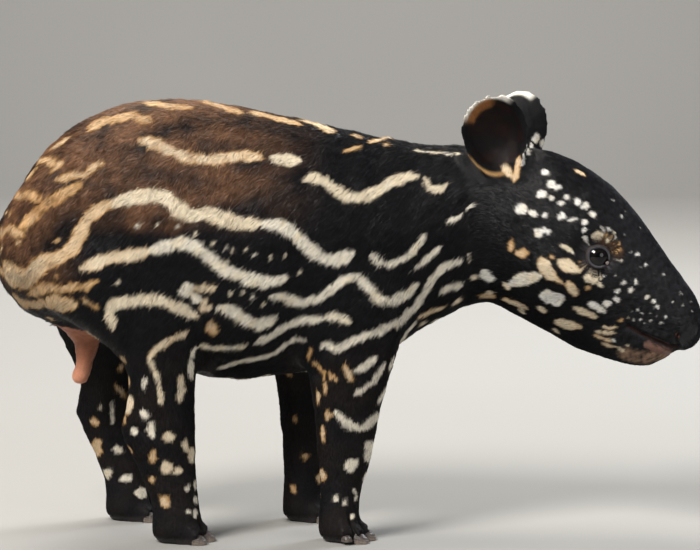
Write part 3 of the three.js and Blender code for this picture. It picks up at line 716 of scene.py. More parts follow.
@dataclass
class Projector:
    """Carries marks from the picture, or from behind or below, to the skin's near side."""

    camera: PhotoCamera
    tree: BVHTree
    girth: float = 0.07
    below: float = 0.06
    head_start: float = 0.12

    def ray(self, caster: Caster, u: float, v: float) -> tuple[Vector, Vector, float]:
        """Finds where a mark's point comes from.

        Args:
            caster: what the two numbers mean.
            u: the first number, to the right or forwards.
            v: the second number, down, up or to the right.

        Returns:
            The start, the direction, and how many metres one unit is near the skin.
        """
        if caster is Caster.BEHIND:
            return Vector((-1.0, -u * MM, v * MM)), Vector((1.0, 0.0, 0.0)), MM
        if caster is Caster.BELOW:
            return Vector((u * MM, -v * MM, self.below)), Vector((0.0, 0.0, 1.0)), MM
        start = self.camera.place()
        direction = self.camera.ray(u, v)
        if caster is Caster.INSIDE:
            start = start + direction * (-start[1] / direction[1])
        depth = self.camera.distance - self.girth
        return Vector(start), Vector(direction), depth / self.camera.focal_px

    def land(self, caster: Caster, spots: Array, sizes: Array, tan: float) -> Trail:
        """Carries a row of spots to the skin, as one trail.

        Args:
            caster: what the numbers mean.
            spots: rows of two numbers.
            sizes: each spot's radius in the same unit.
            tan: the mark's tone.

        Returns:
            The trail. A spot whose ray misses the body goes to the nearest place on it.
        """
        points, normals, radii = [], [], []
        for (u, v), size in zip(spots, sizes):
            start, direction, scale = self.ray(caster, u, v)
            place, normal, _, _ = self.tree.ray_cast(start, direction)
            if place is None:
                middle = start + direction * (Vector((0.0, -0.03, 0.25)) - start).dot(direction)
                place, normal, _, _ = self.tree.find_nearest(middle)
            least, power = (0.42, 0.7) if place.x < self.head_start else (0.65, 0.4)
            facing = max(least, abs(normal.dot(direction)))
            points.append(place)
            normals.append(normal)
            radii.append(size * scale / facing**power)
        return Trail(np.array(points), np.array(normals), np.array(radii), tan)

    def snapped(self, trail: Trail, moved: Array, widths: Array) -> Trail:
        """The same trail at other places, brought onto the skin."""
        points, normals = [], []
        for place in moved:
            found, normal, _, _ = self.tree.find_nearest(Vector(place))
            points.append(found)
            normals.append(normal)
        return Trail(np.array(points), np.array(normals), trail.radii * widths, trail.tan)


def run_along(path: tuple[Pixel, ...], spacing: float) -> Array:
    """Rounds a path at its corners.

    Args:
        path: the points that it runs through.
        spacing: how far apart the new points are.

    Returns:
        The points along the rounded path.
    """
    corners = np.array(path, float)
    steps = np.hypot(*np.diff(corners, axis=0).T)
    along = np.concatenate([[0.0], np.cumsum(steps)])
    count = max(3, int(along[-1] / spacing) + 1)
    at = np.linspace(0.0, along[-1], count)
    line = np.stack([np.interp(at, along, corners[:, k]) for k in range(2)], axis=1)
    for _ in range(3):
        line[1:-1] = (line[:-2] + line[1:-1] * 2.0 + line[2:]) / 4.0
    return line


@dataclass
class Markings:
    """All the pale marks, on both sides of the body, as trails on the skin."""

    projector: Projector
    axis: BodyAxis
    stance: LegStance
    wider: float = 0.35
    finer: float = 0.75
    trails: list[Trail] = field(default_factory=list)
    rng: np.random.Generator = field(default_factory=lambda: np.random.default_rng(11))

    def add_stripe(self, stripe: Stripe, caster: Caster, limb: Limb, near: Side) -> None:
        """Adds a stripe on its own side and on the other.

        Args:
            stripe: the stripe.
            caster: what its numbers mean.
            limb: what it lies on.
            near: the side that it is drawn for.
        """
        spacing = max(1.0, stripe.width / 4)
        line = run_along(stripe.path, spacing)
        length = spacing * len(line)
        at = np.linspace(0.0, length, len(line))
        ends = np.minimum(at, length - at) / min(stripe.width, length / 3)
        taper = 0.42 + 0.58 * ramp(-0.2, 1.0, ends)
        waves = np.sin(at / stripe.width * 1.9 + self.rng.uniform(0, 6.3))
        waves += np.sin(at / stripe.width * 4.3 + self.rng.uniform(0, 6.3)) * 0.6
        sizes = stripe.width / 2 * taper * (1.0 + 0.11 * waves)
        self.add_pair(self.projector.land(caster, line, sizes, stripe.tan), limb, near)

    def add_spots(self, spots: Spots, caster: Caster, limb: Limb, near: Side) -> None:
        """Adds each oval as a short row of round spots, on its own side and on the other.

        Args:
            spots: the ovals.
            caster: what their numbers mean.
            limb: what they lie on.
            near: the side that they are drawn for.
        """
        for x, y, wide, high in spots.ovals:
            half = abs(wide - high) / 2
            size = min(wide, high) / 2
            reach = np.linspace(-half, half, 3 + int(half / max(size, 1.0) * 2))
            lean = self.rng.uniform(-0.25, 0.25)
            if high > wide:
                line = np.stack([x + reach * lean, y + reach], axis=1)
            else:
                line = np.stack([x + reach, y + reach * lean], axis=1)
            line += self.rng.normal(0.0, 0.20 * size, line.shape)
            fade = 1.0 - 0.3 * (np.abs(reach) / max(half, size)) ** 2
            sizes = size * fade * self.rng.uniform(0.72, 1.02, len(line))
            self.add_pair(self.projector.land(caster, line, sizes, spots.tan), limb, near)

    def add_pair(self, trail: Trail, limb: Limb, near: Side) -> None:
        """Adds a trail and its like on the other side, a little differently placed and wide.

        Args:
            trail: the trail.
            limb: what it lies on.
            near: its own side.
        """
        self.trails.append(trail)
        if limb is Limb.BODY:
            other = self.axis.mirrored(trail.points)
            stray = 3.0 * MM * (1.0 - 0.65 * ramp(0.10, 0.20, trail.points[:, 0]))
        else:
            other = self.stance.mirrored(limb, trail.points, near)
            stray = np.full(len(other), 1.6 * MM)
        drift = np.stack([Ripple(0.09, 20 + k).at(trail.points) for k in range(3)], axis=1)
        widths = 1.0 + 0.12 * Ripple(0.05, 24).at(trail.points)
        self.trails.append(self.projector.snapped(trail, other + drift * stray[:, None], widths))

    def add_all(self) -> None:
        """Adds every stripe and spot that the script lists."""
        plan = (
            (BODY_MARKS + HEAD_MARKS, Caster.CAMERA, Limb.BODY),
            (HIND_MARKS, Caster.CAMERA, Limb.HIND),
            (FORE_MARKS, Caster.CAMERA, Limb.FORE),
            (FAR_HIND_MARKS, Caster.INSIDE, Limb.HIND),
            (FAR_FORE_MARKS, Caster.INSIDE, Limb.FORE),
            (REAR_MARKS, Caster.BEHIND, Limb.BODY),
            (UNDER_MARKS, Caster.BELOW, Limb.BODY),
        )
        for marks, caster, limb in plan:
            side = Side.LEFT if caster is Caster.INSIDE else Side.RIGHT
            for mark in marks:
                add = self.add_stripe if isinstance(mark, Stripe) else self.add_spots
                add(mark, caster, limb, side)
        LOG.info("markings: %d trails", len(self.trails))

    def at(self, points: Array, normals: Array) -> tuple[Array, Array]:
        """Finds how far each point is outside the nearest mark.

        Args:
            points: rows of x, y, z.
            normals: the way the skin faces at each.

        Returns:
            The distances, less than 0 inside a mark, and the nearest mark's tone. The marks'
            edges are frayed, because the places are shifted a little first.
        """
        shift = np.stack([0.8 * Ripple(0.011, 25 + k).at(points) + 0.6 * Ripple(0.0034, 28 + k).at(points)
                          for k in range(3)], axis=1)
        amount = (1.0 - 0.30 * ramp(0.12, 0.18, points[:, 0])) * MM
        gap, tan = nearest_trail(self.trails, points + shift * amount[:, None], normals, 3.5 * MM)
        wider = self.wider - self.finer * ramp(0.20, 0.28, points[:, 0])
        return gap - wider * MM, tan


def nearest_trail(trails: list[Trail], points: Array, normals: Array,
                  reach: float) -> tuple[Array, Array]:
    """Finds the nearest trail for each point.

    Args:
        trails: the trails to look at.
        points: rows of x, y, z.
        normals: the way the skin faces at each.
        reach: how far beyond a trail's edge it counts, in metres.

    Returns:
        The distances, FAR_AWAY where no trail is in reach, and the trails' tones.
    """
    best = np.full(len(points), FAR_AWAY)
    tan = np.zeros(len(points))
    order = np.argsort(points[:, 0])
    across = points[order, 0]
    for trail in trails:
        margin = trail.radii.max() + reach
        low = trail.points.min(axis=0) - margin
        high = trail.points.max(axis=0) + margin
        first, last = np.searchsorted(across, (low[0], high[0]))
        rows = order[first:last]
        near = points[rows]
        rows = rows[((near[:, 1:] >= low[1:]) & (near[:, 1:] <= high[1:])).all(axis=1)]
        if not rows.size:
            continue
        gap = trail.gap(points[rows], normals[rows])
        closer = gap < best[rows]
        best[rows[closer]] = gap[closer]
        tan[rows[closer]] = trail.tan
    return best, tan


# Folds and swells that the skin takes, as pixels of the picture too


@dataclass(frozen=True)
class Fold:
    """A furrow, or a ridge where the depth is below 0, in millimetres, along a path of pixels."""

    width: float
    depth: float
    path: tuple[Pixel, ...]


@dataclass(frozen=True)
class Swell:
    """A soft rise, or a hollow where the height is below 0, round a pixel, in millimetres."""

    at: Pixel
    radius: float
    height: float


MOUTH_LINE = Fold(2.6, 4.5, ((628, 326), (640, 333), (650, 338), (660, 342), (668, 346), (676, 347)))
NOSTRIL = Fold(2.0, 3.4, ((678, 334), (676, 338), (677, 343), (680, 347)))
BODY_FOLDS = (
    Fold(9.0, 2.4, ((466, 205), (469, 235), (470, 262), (469, 290), (463, 306))),
    Fold(7.0, 1.4, ((452, 190), (456, 220), (457, 250))),
    Fold(7.0, 3.0, ((325, 345), (320, 360), (315, 375))),
    Fold(10.0, 4.0, ((197, 300), (202, 318), (204, 335), (201, 352))),
    Fold(9.0, 1.6, ((130, 330), (126, 352), (128, 376))),
    Fold(5.0, 1.2, ((127, 424), (134, 430), (146, 433))),
    Fold(6.0, 1.3, ((335, 352), (352, 356), (372, 352))),
    Fold(5.0, 1.0, ((160, 130), (200, 128), (240, 134))),
)
HEAD_FOLDS = (
    Fold(3.0, 0.9, ((611, 262), (622, 272), (634, 279))),
    Fold(3.0, 0.8, ((588, 273), (600, 279), (612, 279))),
    Fold(2.6, 0.7, ((587, 238), (598, 234), (609, 238))),
    Fold(3.2, 0.8, ((650, 262), (656, 280), (655, 298))),
    Fold(3.0, 0.8, ((662, 272), (668, 290), (667, 308))),
    Fold(3.0, 0.7, ((673, 284), (678, 300), (676, 316))),
    Fold(2.4, 0.7, ((640, 318), (654, 322), (668, 328))),
    Fold(4.5, 1.2, ((560, 300), (580, 318), (604, 326), (622, 328))),
    Fold(4.0, 1.0, ((520, 225), (528, 250), (532, 275), (528, 300))),
    Fold(3.0, 1.4, ((498, 172), (508, 180), (518, 184), (526, 178))),
    Fold(3.0, -0.8, ((640, 328), (652, 334), (664, 338))),
    Fold(3.4, -1.0, ((640, 344), (652, 347), (664, 350))),
    Fold(1.8, 0.5, ((640, 284), (652, 283), (664, 287))),
    Fold(1.8, 0.5, ((634, 292), (648, 288), (662, 292))),
    Fold(1.6, 0.45, ((664, 322), (672, 326), (682, 326))),
    Fold(1.6, 0.4, ((668, 314), (678, 317), (688, 316))),
    Fold(1.6, 0.4, ((655, 327), (664, 331), (673, 333))),
)
SWELLS = (
    Swell((556, 282), 26.0, 2.2),
    Swell((578, 232), 16.0, 1.2),
    Swell((604, 240), 10.0, 1.1),
    Swell((400, 232), 34.0, 1.8),
    Swell((352, 300), 26.0, 1.4),
    Swell((180, 322), 24.0, 1.6),
    Swell((150, 240), 40.0, 1.6),
    Swell((332, 356), 14.0, 1.4),
    Swell((128, 440), 8.0, 1.0),
    Swell((374, 395), 10.0, -0.8),
    Swell((165, 420), 10.0, -0.8),
    Swell((660, 346), 5.0, -1.6),
)


@dataclass
class Surface:
    """A mesh's points and edges as arrays, shaped there and then written back."""

    mesh: bpy.types.Mesh
    points: Array = field(init=False)
    edges: Array = field(init=False)

    def __post_init__(self) -> None:
        """Reads the mesh."""
        self.points = read(self.mesh.vertices, "co", 3).astype(float)
        self.edges = read(self.mesh.edges, "vertices", 2, np.int32)

    def write(self) -> None:
        """Writes the points back to the mesh."""
        store(self.mesh.vertices, "co", self.points)
        self.mesh.update()

    def normals(self) -> Array:
        """The way each point faces, from the mesh as it was last written."""
        return read(self.mesh.vertex_normals, "vector", 3).astype(float)

    def averaged(self, values: Array) -> Array:
        """The mean of each point's neighbours."""
        first, second = self.edges.T
        size = len(values)
        count = np.bincount(first, minlength=size) + np.bincount(second, minlength=size)
        total = np.empty_like(values)
        for k in range(values.shape[1]):
            column = values[:, k]
            total[:, k] = np.bincount(first, column[second], size) + np.bincount(second, column[first], size)
        return total / np.maximum(count, 1)[:, None]

    def soften(self, shares: Array, rounds: int) -> None:
        """Moves each point towards its neighbours' mean by its share, round after round."""
        for _ in range(rounds):
            self.points += (self.averaged(self.points) - self.points) * shares[:, None]
        self.write()

    def tree(self) -> BVHTree:
        """A tree of the mesh's faces, to cast rays at."""
        faces = [tuple(face.vertices) for face in self.mesh.polygons]
        return BVHTree.FromPolygons(self.points.tolist(), faces)


@dataclass(frozen=True)
class EyePlace:
    """One eyeball's place: its middle, the way it looks, and the size of its opening and lids."""

    side: Side
    middle: Array
    gaze: Array
    ahead: Array
    ball: float = 0.0130
    lid: float = 0.0149
    inside: float = 0.0116
    opening: float = radians(41.0)
    front_corner: float = radians(-36.0)
    rear_corner: float = radians(142.0)

    def up(self) -> Array:
        """The way up across the gaze."""
        return np.cross(self.ahead, self.gaze) * self.side.value

    def polar(self, points: Array) -> tuple[Array, Array, Array]:
        """Finds places round the eyeball.

        Args:
            points: rows of x, y, z.

        Returns:
            The distance from its middle, the angle off the gaze, and the angle about it from the front.
        """
        arms = points - self.middle
        radius = np.linalg.norm(arms, axis=1)
        off = np.arccos(np.clip((arms @ self.gaze) / np.maximum(radius, 1e-9), -1.0, 1.0))
        about = np.arctan2(arms @ self.up(), arms @ self.ahead)
        return radius, off, about

    def edge(self, about: Array) -> Array:
        """The lids' opening angle, drawn out to a corner in front and, less, behind."""
        front = np.angle(np.exp(1j * (about - self.front_corner)))
        rear = np.angle(np.exp(1j * (about - self.rear_corner)))
        flat = np.cos(about) ** 2
        edge = self.opening + radians(4.0) * flat
        edge += radians(19.0) * bell(front, radians(17.0))
        return edge + radians(5.0) * bell(rear, radians(20.0))


def eye_place(side: Side, axis: BodyAxis) -> EyePlace:
    """Reads an eye's middle from its node's box, and turns its gaze out and forwards."""
    middle = np.array(middle_of(f"eye_{side.name.lower()}"))
    forward = axis.ahead(np.array([EYES_ALONG]))[0]
    out = np.array([-forward[1], forward[0], 0.0]) * side.value
    gaze = unit(out * cos(GAZE_TURN) + forward * sin(GAZE_TURN))
    ahead = unit(forward - gaze * float(forward @ gaze))
    return EyePlace(side, middle, gaze, ahead)


@dataclass
class Skin:
    """One skin in place of all the flesh: made, sunk by the coat's depth, and shaped."""

    camera: PhotoCamera
    axis: BodyAxis
    stance: LegStance
    ears: EarFrame
    eyes: list[EyePlace]
    voxel: float = 0.0035
    lens: float = 0.75
    lens_start: float = 0.100
    lens_end: float = 0.160
    lens_level: float = 0.28
    swell: float = 0.0003
    mouth_reach: float = 0.030
    toe_top: float = 0.034
    sole_round: float = 0.011
    piece: Piece = field(init=False)
    surface: Surface = field(init=False)
    nodes: list[str] = field(init=False)

    def make(self) -> None:
        """Builds the skin from the solids and shapes it."""
        self.nodes = [name for name in frame["nodes"] if "hoof" not in name and "eye" not in name]
        self.join_solids()
        self.remesh()
        self.keep_largest()
        self.refine()
        self.surface = Surface(self.piece.data)
        self.soften()
        self.sink()
        self.fold()
        self.part_toes()
        self.open_eyes()
        self.level_soles()
        make_active(self.piece)
        bpy.ops.object.shade_smooth()

    def join_solids(self) -> None:
        """Joins swollen copies of the flesh, with a ball over each eye for its lids."""
        parts = []
        for node in self.nodes:
            parts.append(merged_copy(node, f"part_{node}"))
            with editing(parts[-1]):
                bpy.ops.transform.shrink_fatten(value=self.swell)
        for eye in self.eyes:
            bpy.ops.mesh.primitive_uv_sphere_add(segments=48, ring_count=24, radius=eye.lid,
                                                 location=eye.middle)
            parts.append(bpy.context.active_object)
            bpy.ops.object.transform_apply()
        deselect_all()
        for part in parts:
            part.select_set(True)
        bpy.context.view_layer.objects.active = parts[0]
        bpy.ops.object.join()
        self.piece = name_new("skin")

    def through_lens(self, points: Array, back: bool) -> Array:
        """Enlarges the head for the remesh, so that its voxels are finer there.

        Args:
            points: rows of x, y, z.
            back: brings the head back to size.

        Returns:
            The moved points.
        """
        x = np.linspace(-0.5, 0.5, 1001)
        times = 1.0 + self.lens * ramp(self.lens_start, self.lens_end, x)
        far = np.concatenate([[0.0], np.cumsum((times[1:] + times[:-1]) / 2 * np.diff(x))])
        far -= np.interp(0.0, x, far)
        if back:
            along = np.interp(points[:, 0], far, x)
            scale = np.interp(along, x, times)
            return np.stack([along, points[:, 1] / scale, points[:, 2] / scale + self.lens_level], axis=1)
        scale = np.interp(points[:, 0], x, times)
        along = np.interp(points[:, 0], x, far)
        return np.stack([along, points[:, 1] * scale, (points[:, 2] - self.lens_level) * scale], axis=1)

    def remesh(self) -> None:
        """Makes one closed mesh of the joined parts, finer on the head."""
        surface = Surface(self.piece.data)
        surface.points = self.through_lens(surface.points, back=False)
        surface.write()
        apply_modifier(self.piece, "REMESH", mode="VOXEL", voxel_size=self.voxel)
        surface = Surface(self.piece.data)
        surface.points = self.through_lens(surface.points, back=True)
        surface.write()

    def keep_largest(self) -> None:
        """Deletes the crumbs that the remesh leaves inside."""
        with editing(self.piece, action="DESELECT"):
            pass
        points = read(self.piece.data.vertices, "co", 3)
        self.piece.data.vertices[int(points[:, 2].argmax())].select = True
        with editing(self.piece, action=""):
            bpy.ops.mesh.select_linked()
            bpy.ops.mesh.select_all(action="INVERT")
            bpy.ops.mesh.delete(type="VERT")

    def refine(self) -> None:
        """Subdivides the skin near the eyes, the mouth and the feet, and closest to eyes and soles twice."""
        mouth = [np.array([0.300, -0.075, 0.195]), np.array([0.335, -0.075, 0.200])]
        mouth += list(self.axis.mirrored(np.array(mouth)))
        for wide, eye_reach, foot_top in ((True, 0.023, 0.036), (False, 0.017, 0.028)):
            middles = read(self.piece.data.polygons, "center", 3)
            chosen = middles[:, 2] < foot_top
            for eye in self.eyes:
                chosen |= np.linalg.norm(middles - eye.middle, axis=1) < eye_reach
            if wide:
                for spot in mouth:
                    chosen |= np.linalg.norm(middles - spot, axis=1) < self.mouth_reach
                chosen |= in_box(middles, "sheath", 0.004, 0.004)
            with editing(self.piece, "FACE", "DESELECT"):
                pass
            self.piece.data.polygons.foreach_set("select", chosen)
            with editing(self.piece, "FACE", ""):
                bpy.ops.mesh.subdivide(number_cuts=1)

    def soften(self) -> None:
        """Smooths the solids' facets away: most on the trunk, least on ears, lips and toes."""
        points = self.surface.points
        along, _ = self.axis.to_body(points)
        shares = 0.50 - 0.18 * ramp(0.10, 0.17, along)
        legs = self.stance.share(points)
        shares = blend(shares, 0.14, legs)
        shares = np.where(points[:, 2] < self.toe_top, 0.16, shares)
        ear, _ = self.ears.share(points)
        shares = np.where(ear > 0.5, 0.05, shares)
        low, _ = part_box("lower_jaw")
        lips = ramp(low.x + 0.01, low.x + 0.05, points[:, 0]) * fall(0.215, 0.235, points[:, 2])
        shares = shares * (1.0 - 0.5 * lips)
        for eye in self.eyes:
            close = fall(0.015, 0.024, np.linalg.norm(points - eye.middle, axis=1))
            shares = blend(shares, 0.45, close)
        for node, share in (("sheath", 0.10), ("tail", 0.16)):
            shares = np.where(in_box(points, node, 0.002, 0.002), share, shares)
        self.surface.soften(shares, 60)

    def depth(self, points: Array) -> Array:
        """How thick the coat is over the skin there."""
        along, _ = self.axis.to_body(points)
        legs = self.stance.share(points)
        depth = blend(1.6 - 0.8 * ramp(0.13, 0.24, along), 1.0, legs)
        depth *= 0.25 + 0.75 * ramp(0.004, 0.045, points[:, 2])
        ear, _ = self.ears.share(points)
        depth = np.where(ear > 0.5, 0.3, depth)
        return np.where(in_box(points, "sheath"), 0.2, depth) * MM

    def sink(self) -> None:
        """Lowers the skin by the coat's depth."""
        normals = self.surface.normals()
        depth = self.surface.averaged(self.depth(self.surface.points)[:, None])
        self.surface.points -= normals * depth
        self.surface.soften(np.full(len(normals), 0.05), 2)

    def fold(self) -> None:
        """Presses the furrows in and raises the swells, on both sides."""
        projector = Projector(self.camera, self.surface.tree())
        normals = self.surface.normals()
        points = self.surface.points
        x, z = points[:, 0], points[:, 2]
        raised = np.zeros(len(points))
        for fold in (MOUTH_LINE, NOSTRIL) + BODY_FOLDS + HEAD_FOLDS:
            for trail in both_sides(projector, self.axis, fold.path, fold.width):
                gap, _ = nearest_trail([trail], points, normals, fold.width * 3.0 * MM)
                close = bell(np.minimum(gap, 1.0), fold.width * MM)
                raised -= fold.depth * MM * close
        for swell in SWELLS:
            for trail in both_sides(projector, self.axis, (swell.at, swell.at), 1.0):
                gap, _ = nearest_trail([trail], points, normals, swell.radius * 2.5 * MM)
                raised += swell.height * MM * bell(gap, swell.radius * MM)
        ripple = Ripple(0.045, 3).at(points) + 0.5 * Ripple(0.018, 4).at(points)
        trunk = fall(0.08, 0.16, x)
        raised += ripple * (0.25 + 0.25 * trunk) * MM * (z > 0.05)
        raised += Ripple(0.011, 5).at(points) * 0.22 * trunk * MM * (z > 0.20)
        low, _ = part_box("sheath")
        inside = in_box(points, "sheath", 0.002)
        rings = np.sin(z / 0.0042 * 2.0 * pi + 2.5 * Ripple(0.02, 6).at(points))
        raised += inside * ramp(low.z + 0.010, low.z + 0.024, z) * rings * 0.30 * MM
        raised -= inside * 1.8 * MM * bell(z - low.z - 0.023, 0.009)
        self.surface.points += normals * raised[:, None]
        self.surface.write()

    def part_toes(self) -> None:
        """Presses clefts between neighbouring toes, from the floor up, as far as the hooves tell."""
        points, normals = self.surface.points, self.surface.normals()
        raised = np.zeros(len(points))
        for foot in (f"{limb}_{side.name.lower()}" for limb in ("hind", "fore") for side in Side):
            core = np.array(middle_of(f"{foot}_foot"))[:2] - (0.006, 0.0)
            hooves = [node for node in frame["nodes"] if f"{foot}_hoof" in node]
            toes = [np.array(middle_of(node))[:2] - core for node in hooves]
            turns = sorted(math.atan2(toe[1], toe[0]) for toe in toes)
            arms = points[:, :2] - core
            reach = np.hypot(arms[:, 0], arms[:, 1])
            about = np.arctan2(arms[:, 1], arms[:, 0])
            here = (reach < 0.045) * fall(0.020, 0.040, points[:, 2]) * ramp(0.006, 0.014, reach)
            for first, second in zip(turns, turns[1:]):
                across = (about - (first + second) / 2) * reach / MM
                raised -= here * (4.0 * bell(across, 2.2) - 0.7 * bell(across, 6.5))
        self.surface.points += normals * (raised * MM)[:, None]
        self.surface.soften(np.where(points[:, 2] < self.toe_top, 0.10, 0.0), 3)

    def open_eyes(self) -> None:
        """Opens the lids over each eyeball, with their thick edge, a fold above and a groove round."""
        for eye in self.eyes:
            points = self.surface.points
            radius, off, about = eye.polar(points)
            near = (radius < 0.024) & (off < radians(95.0))
            edge = eye.edge(about)
            rim = radians(2.6)
            lid = eye.lid - 0.0005 * ramp(0.0, radians(12.0), off - edge)
            opened = eye.inside + (lid - eye.inside) * ramp(-rim, rim, off - edge)
            out = ramp(radians(56.0), radians(78.0), off - (edge - eye.opening) * 0.6)
            shaped = blend(opened, radius, out)
            wide = np.degrees(off - edge)
            creases = 1.2 * bell(wide - 20.0, 4.0) + 0.6 * bell(wide - 33.0, 5.0)
            roll = 0.45 * bell(wide - 10.0, 6.0) * (1.0 + 0.4 * np.sin(about * 9.0))
            shaped += (roll - creases * (1.0 - 0.3 * np.cos(about))) * MM
            shaped = np.where(near, shaped, radius)
            arms = points - eye.middle
            self.surface.points = eye.middle + arms * (shaped / np.maximum(radius, 1e-9))[:, None]
        self.surface.write()

    def level_soles(self) -> None:
        """Rounds the soles' edges, and lays whatever reaches the floor flat on it."""
        height = self.surface.points[:, 2]
        normals = self.surface.normals()
        edge = fall(0.0, self.sole_round, height) * (np.abs(normals[:, 2]) < 0.9)
        self.surface.points[:, :2] -= normals[:, :2] * (edge * 1.8 * MM)[:, None]
        self.surface.points[:, 2] = np.maximum(height, 0.2 * MM)
        self.surface.write()


def both_sides(projector: Projector, axis: BodyAxis, path: tuple[Pixel, ...], width: float) -> list[Trail]:
    """A thin line along a path of pixels, on the near side and mirrored."""
    line = run_along(path, max(1.5, width / 2)) if path[0] != path[-1] else np.array(path[:1])
    near = projector.land(Caster.CAMERA, line, np.zeros(len(line)), 0.0)
    far = projector.snapped(near, axis.mirrored(near.points), np.ones(len(line)))
    return [near, far]


# Where the skin is bare, and the colours of skin and coat


@dataclass(frozen=True)
class CoatColours:
    """The coat's colours, as linear light."""

    black: Colour = (0.0046, 0.0046, 0.0060)
    # brown: partly the coat's own dark brown on the rump and back, partly painted sunlit sheen there
    brown: Colour = (0.140, 0.070, 0.037)
    leg_brown: Colour = (0.012, 0.009, 0.008)
    slate: Colour = (0.0150, 0.0158, 0.0190)
    white: Colour = (0.88, 0.87, 0.83)
    cream: Colour = (0.83, 0.74, 0.57)
    tan: Colour = (0.60, 0.355, 0.145)
    deep_tan: Colour = (0.40, 0.210, 0.075)
    rim_white: Colour = (0.90, 0.87, 0.80)
    ear_tan: Colour = (0.36, 0.155, 0.055)
    brow: Colour = (0.110, 0.055, 0.026)
    chin: Colour = (0.29, 0.185, 0.125)


@dataclass(frozen=True)
class BareColours:
    """The bare skin's colours, as linear light."""

    lid: Colour = (0.022, 0.021, 0.026)
    lid_roll: Colour = (0.042, 0.035, 0.035)
    # Painted shade in the groove round the lids.
    lid_groove_shade: Colour = (0.007, 0.006, 0.007)
    # A painted highlight, bluish grey, along the lids' inner edge.
    lid_edge_highlight: Colour = (0.060, 0.062, 0.072)
    lip: Colour = (0.13, 0.068, 0.052)
    # Partly the mouth's own dark red-brown lining, partly painted shade in the crease between the lips.
    mouth: Colour = (0.014, 0.005, 0.004)
    # Partly the nose pad's own dark grey, partly painted sheen, so lighter than the coat's black.
    nose: Colour = (0.0130, 0.0130, 0.0150)
    # Painted shade inside the nostril's opening.
    nostril: Colour = (0.004, 0.003, 0.003)
    # A painted highlight: the reddish glint on the moist skin by the nostril.
    wet: Colour = (0.20, 0.07, 0.035)
    sheath: Colour = (0.33, 0.13, 0.075)
    sheath_tip: Colour = (0.58, 0.26, 0.16)
    ear: Colour = (0.0032, 0.0024, 0.0027)
    ear_red: Colour = (0.015, 0.0030, 0.0022)
    toe: Colour = (0.024, 0.021, 0.022)


# Thin lines and short bands on the face, and a brown patch on the flank that is partly painted sunlit sheen,
# as stripes whose tone isn't used
FACE_LINES = {
    "lip": Stripe(5, 0, ((648, 345), (656, 349), (664, 352), (671, 353))),
    "chin": Stripe(9, 0, ((627, 355), (640, 359), (654, 358), (663, 355))),
    "upper": Stripe(2.5, 0, ((632, 327), (644, 333), (656, 338), (668, 344))),
    "nose": Stripe(13, 0, ((683, 342), (690, 339), (694, 330))),
    # A painted highlight by the nostril, drawn as a short line.
    "wet": Stripe(2.5, 0, ((677, 334), (678, 336))),
    "brow": Stripe(7, 0, ((603, 240), (611, 244), (617, 252))),
    "notch": Stripe(8, 0, ((505, 166), (512, 172), (517, 166))),
    "flank": Stripe(14, 0, ((136, 218), (152, 217), (170, 221))),
}


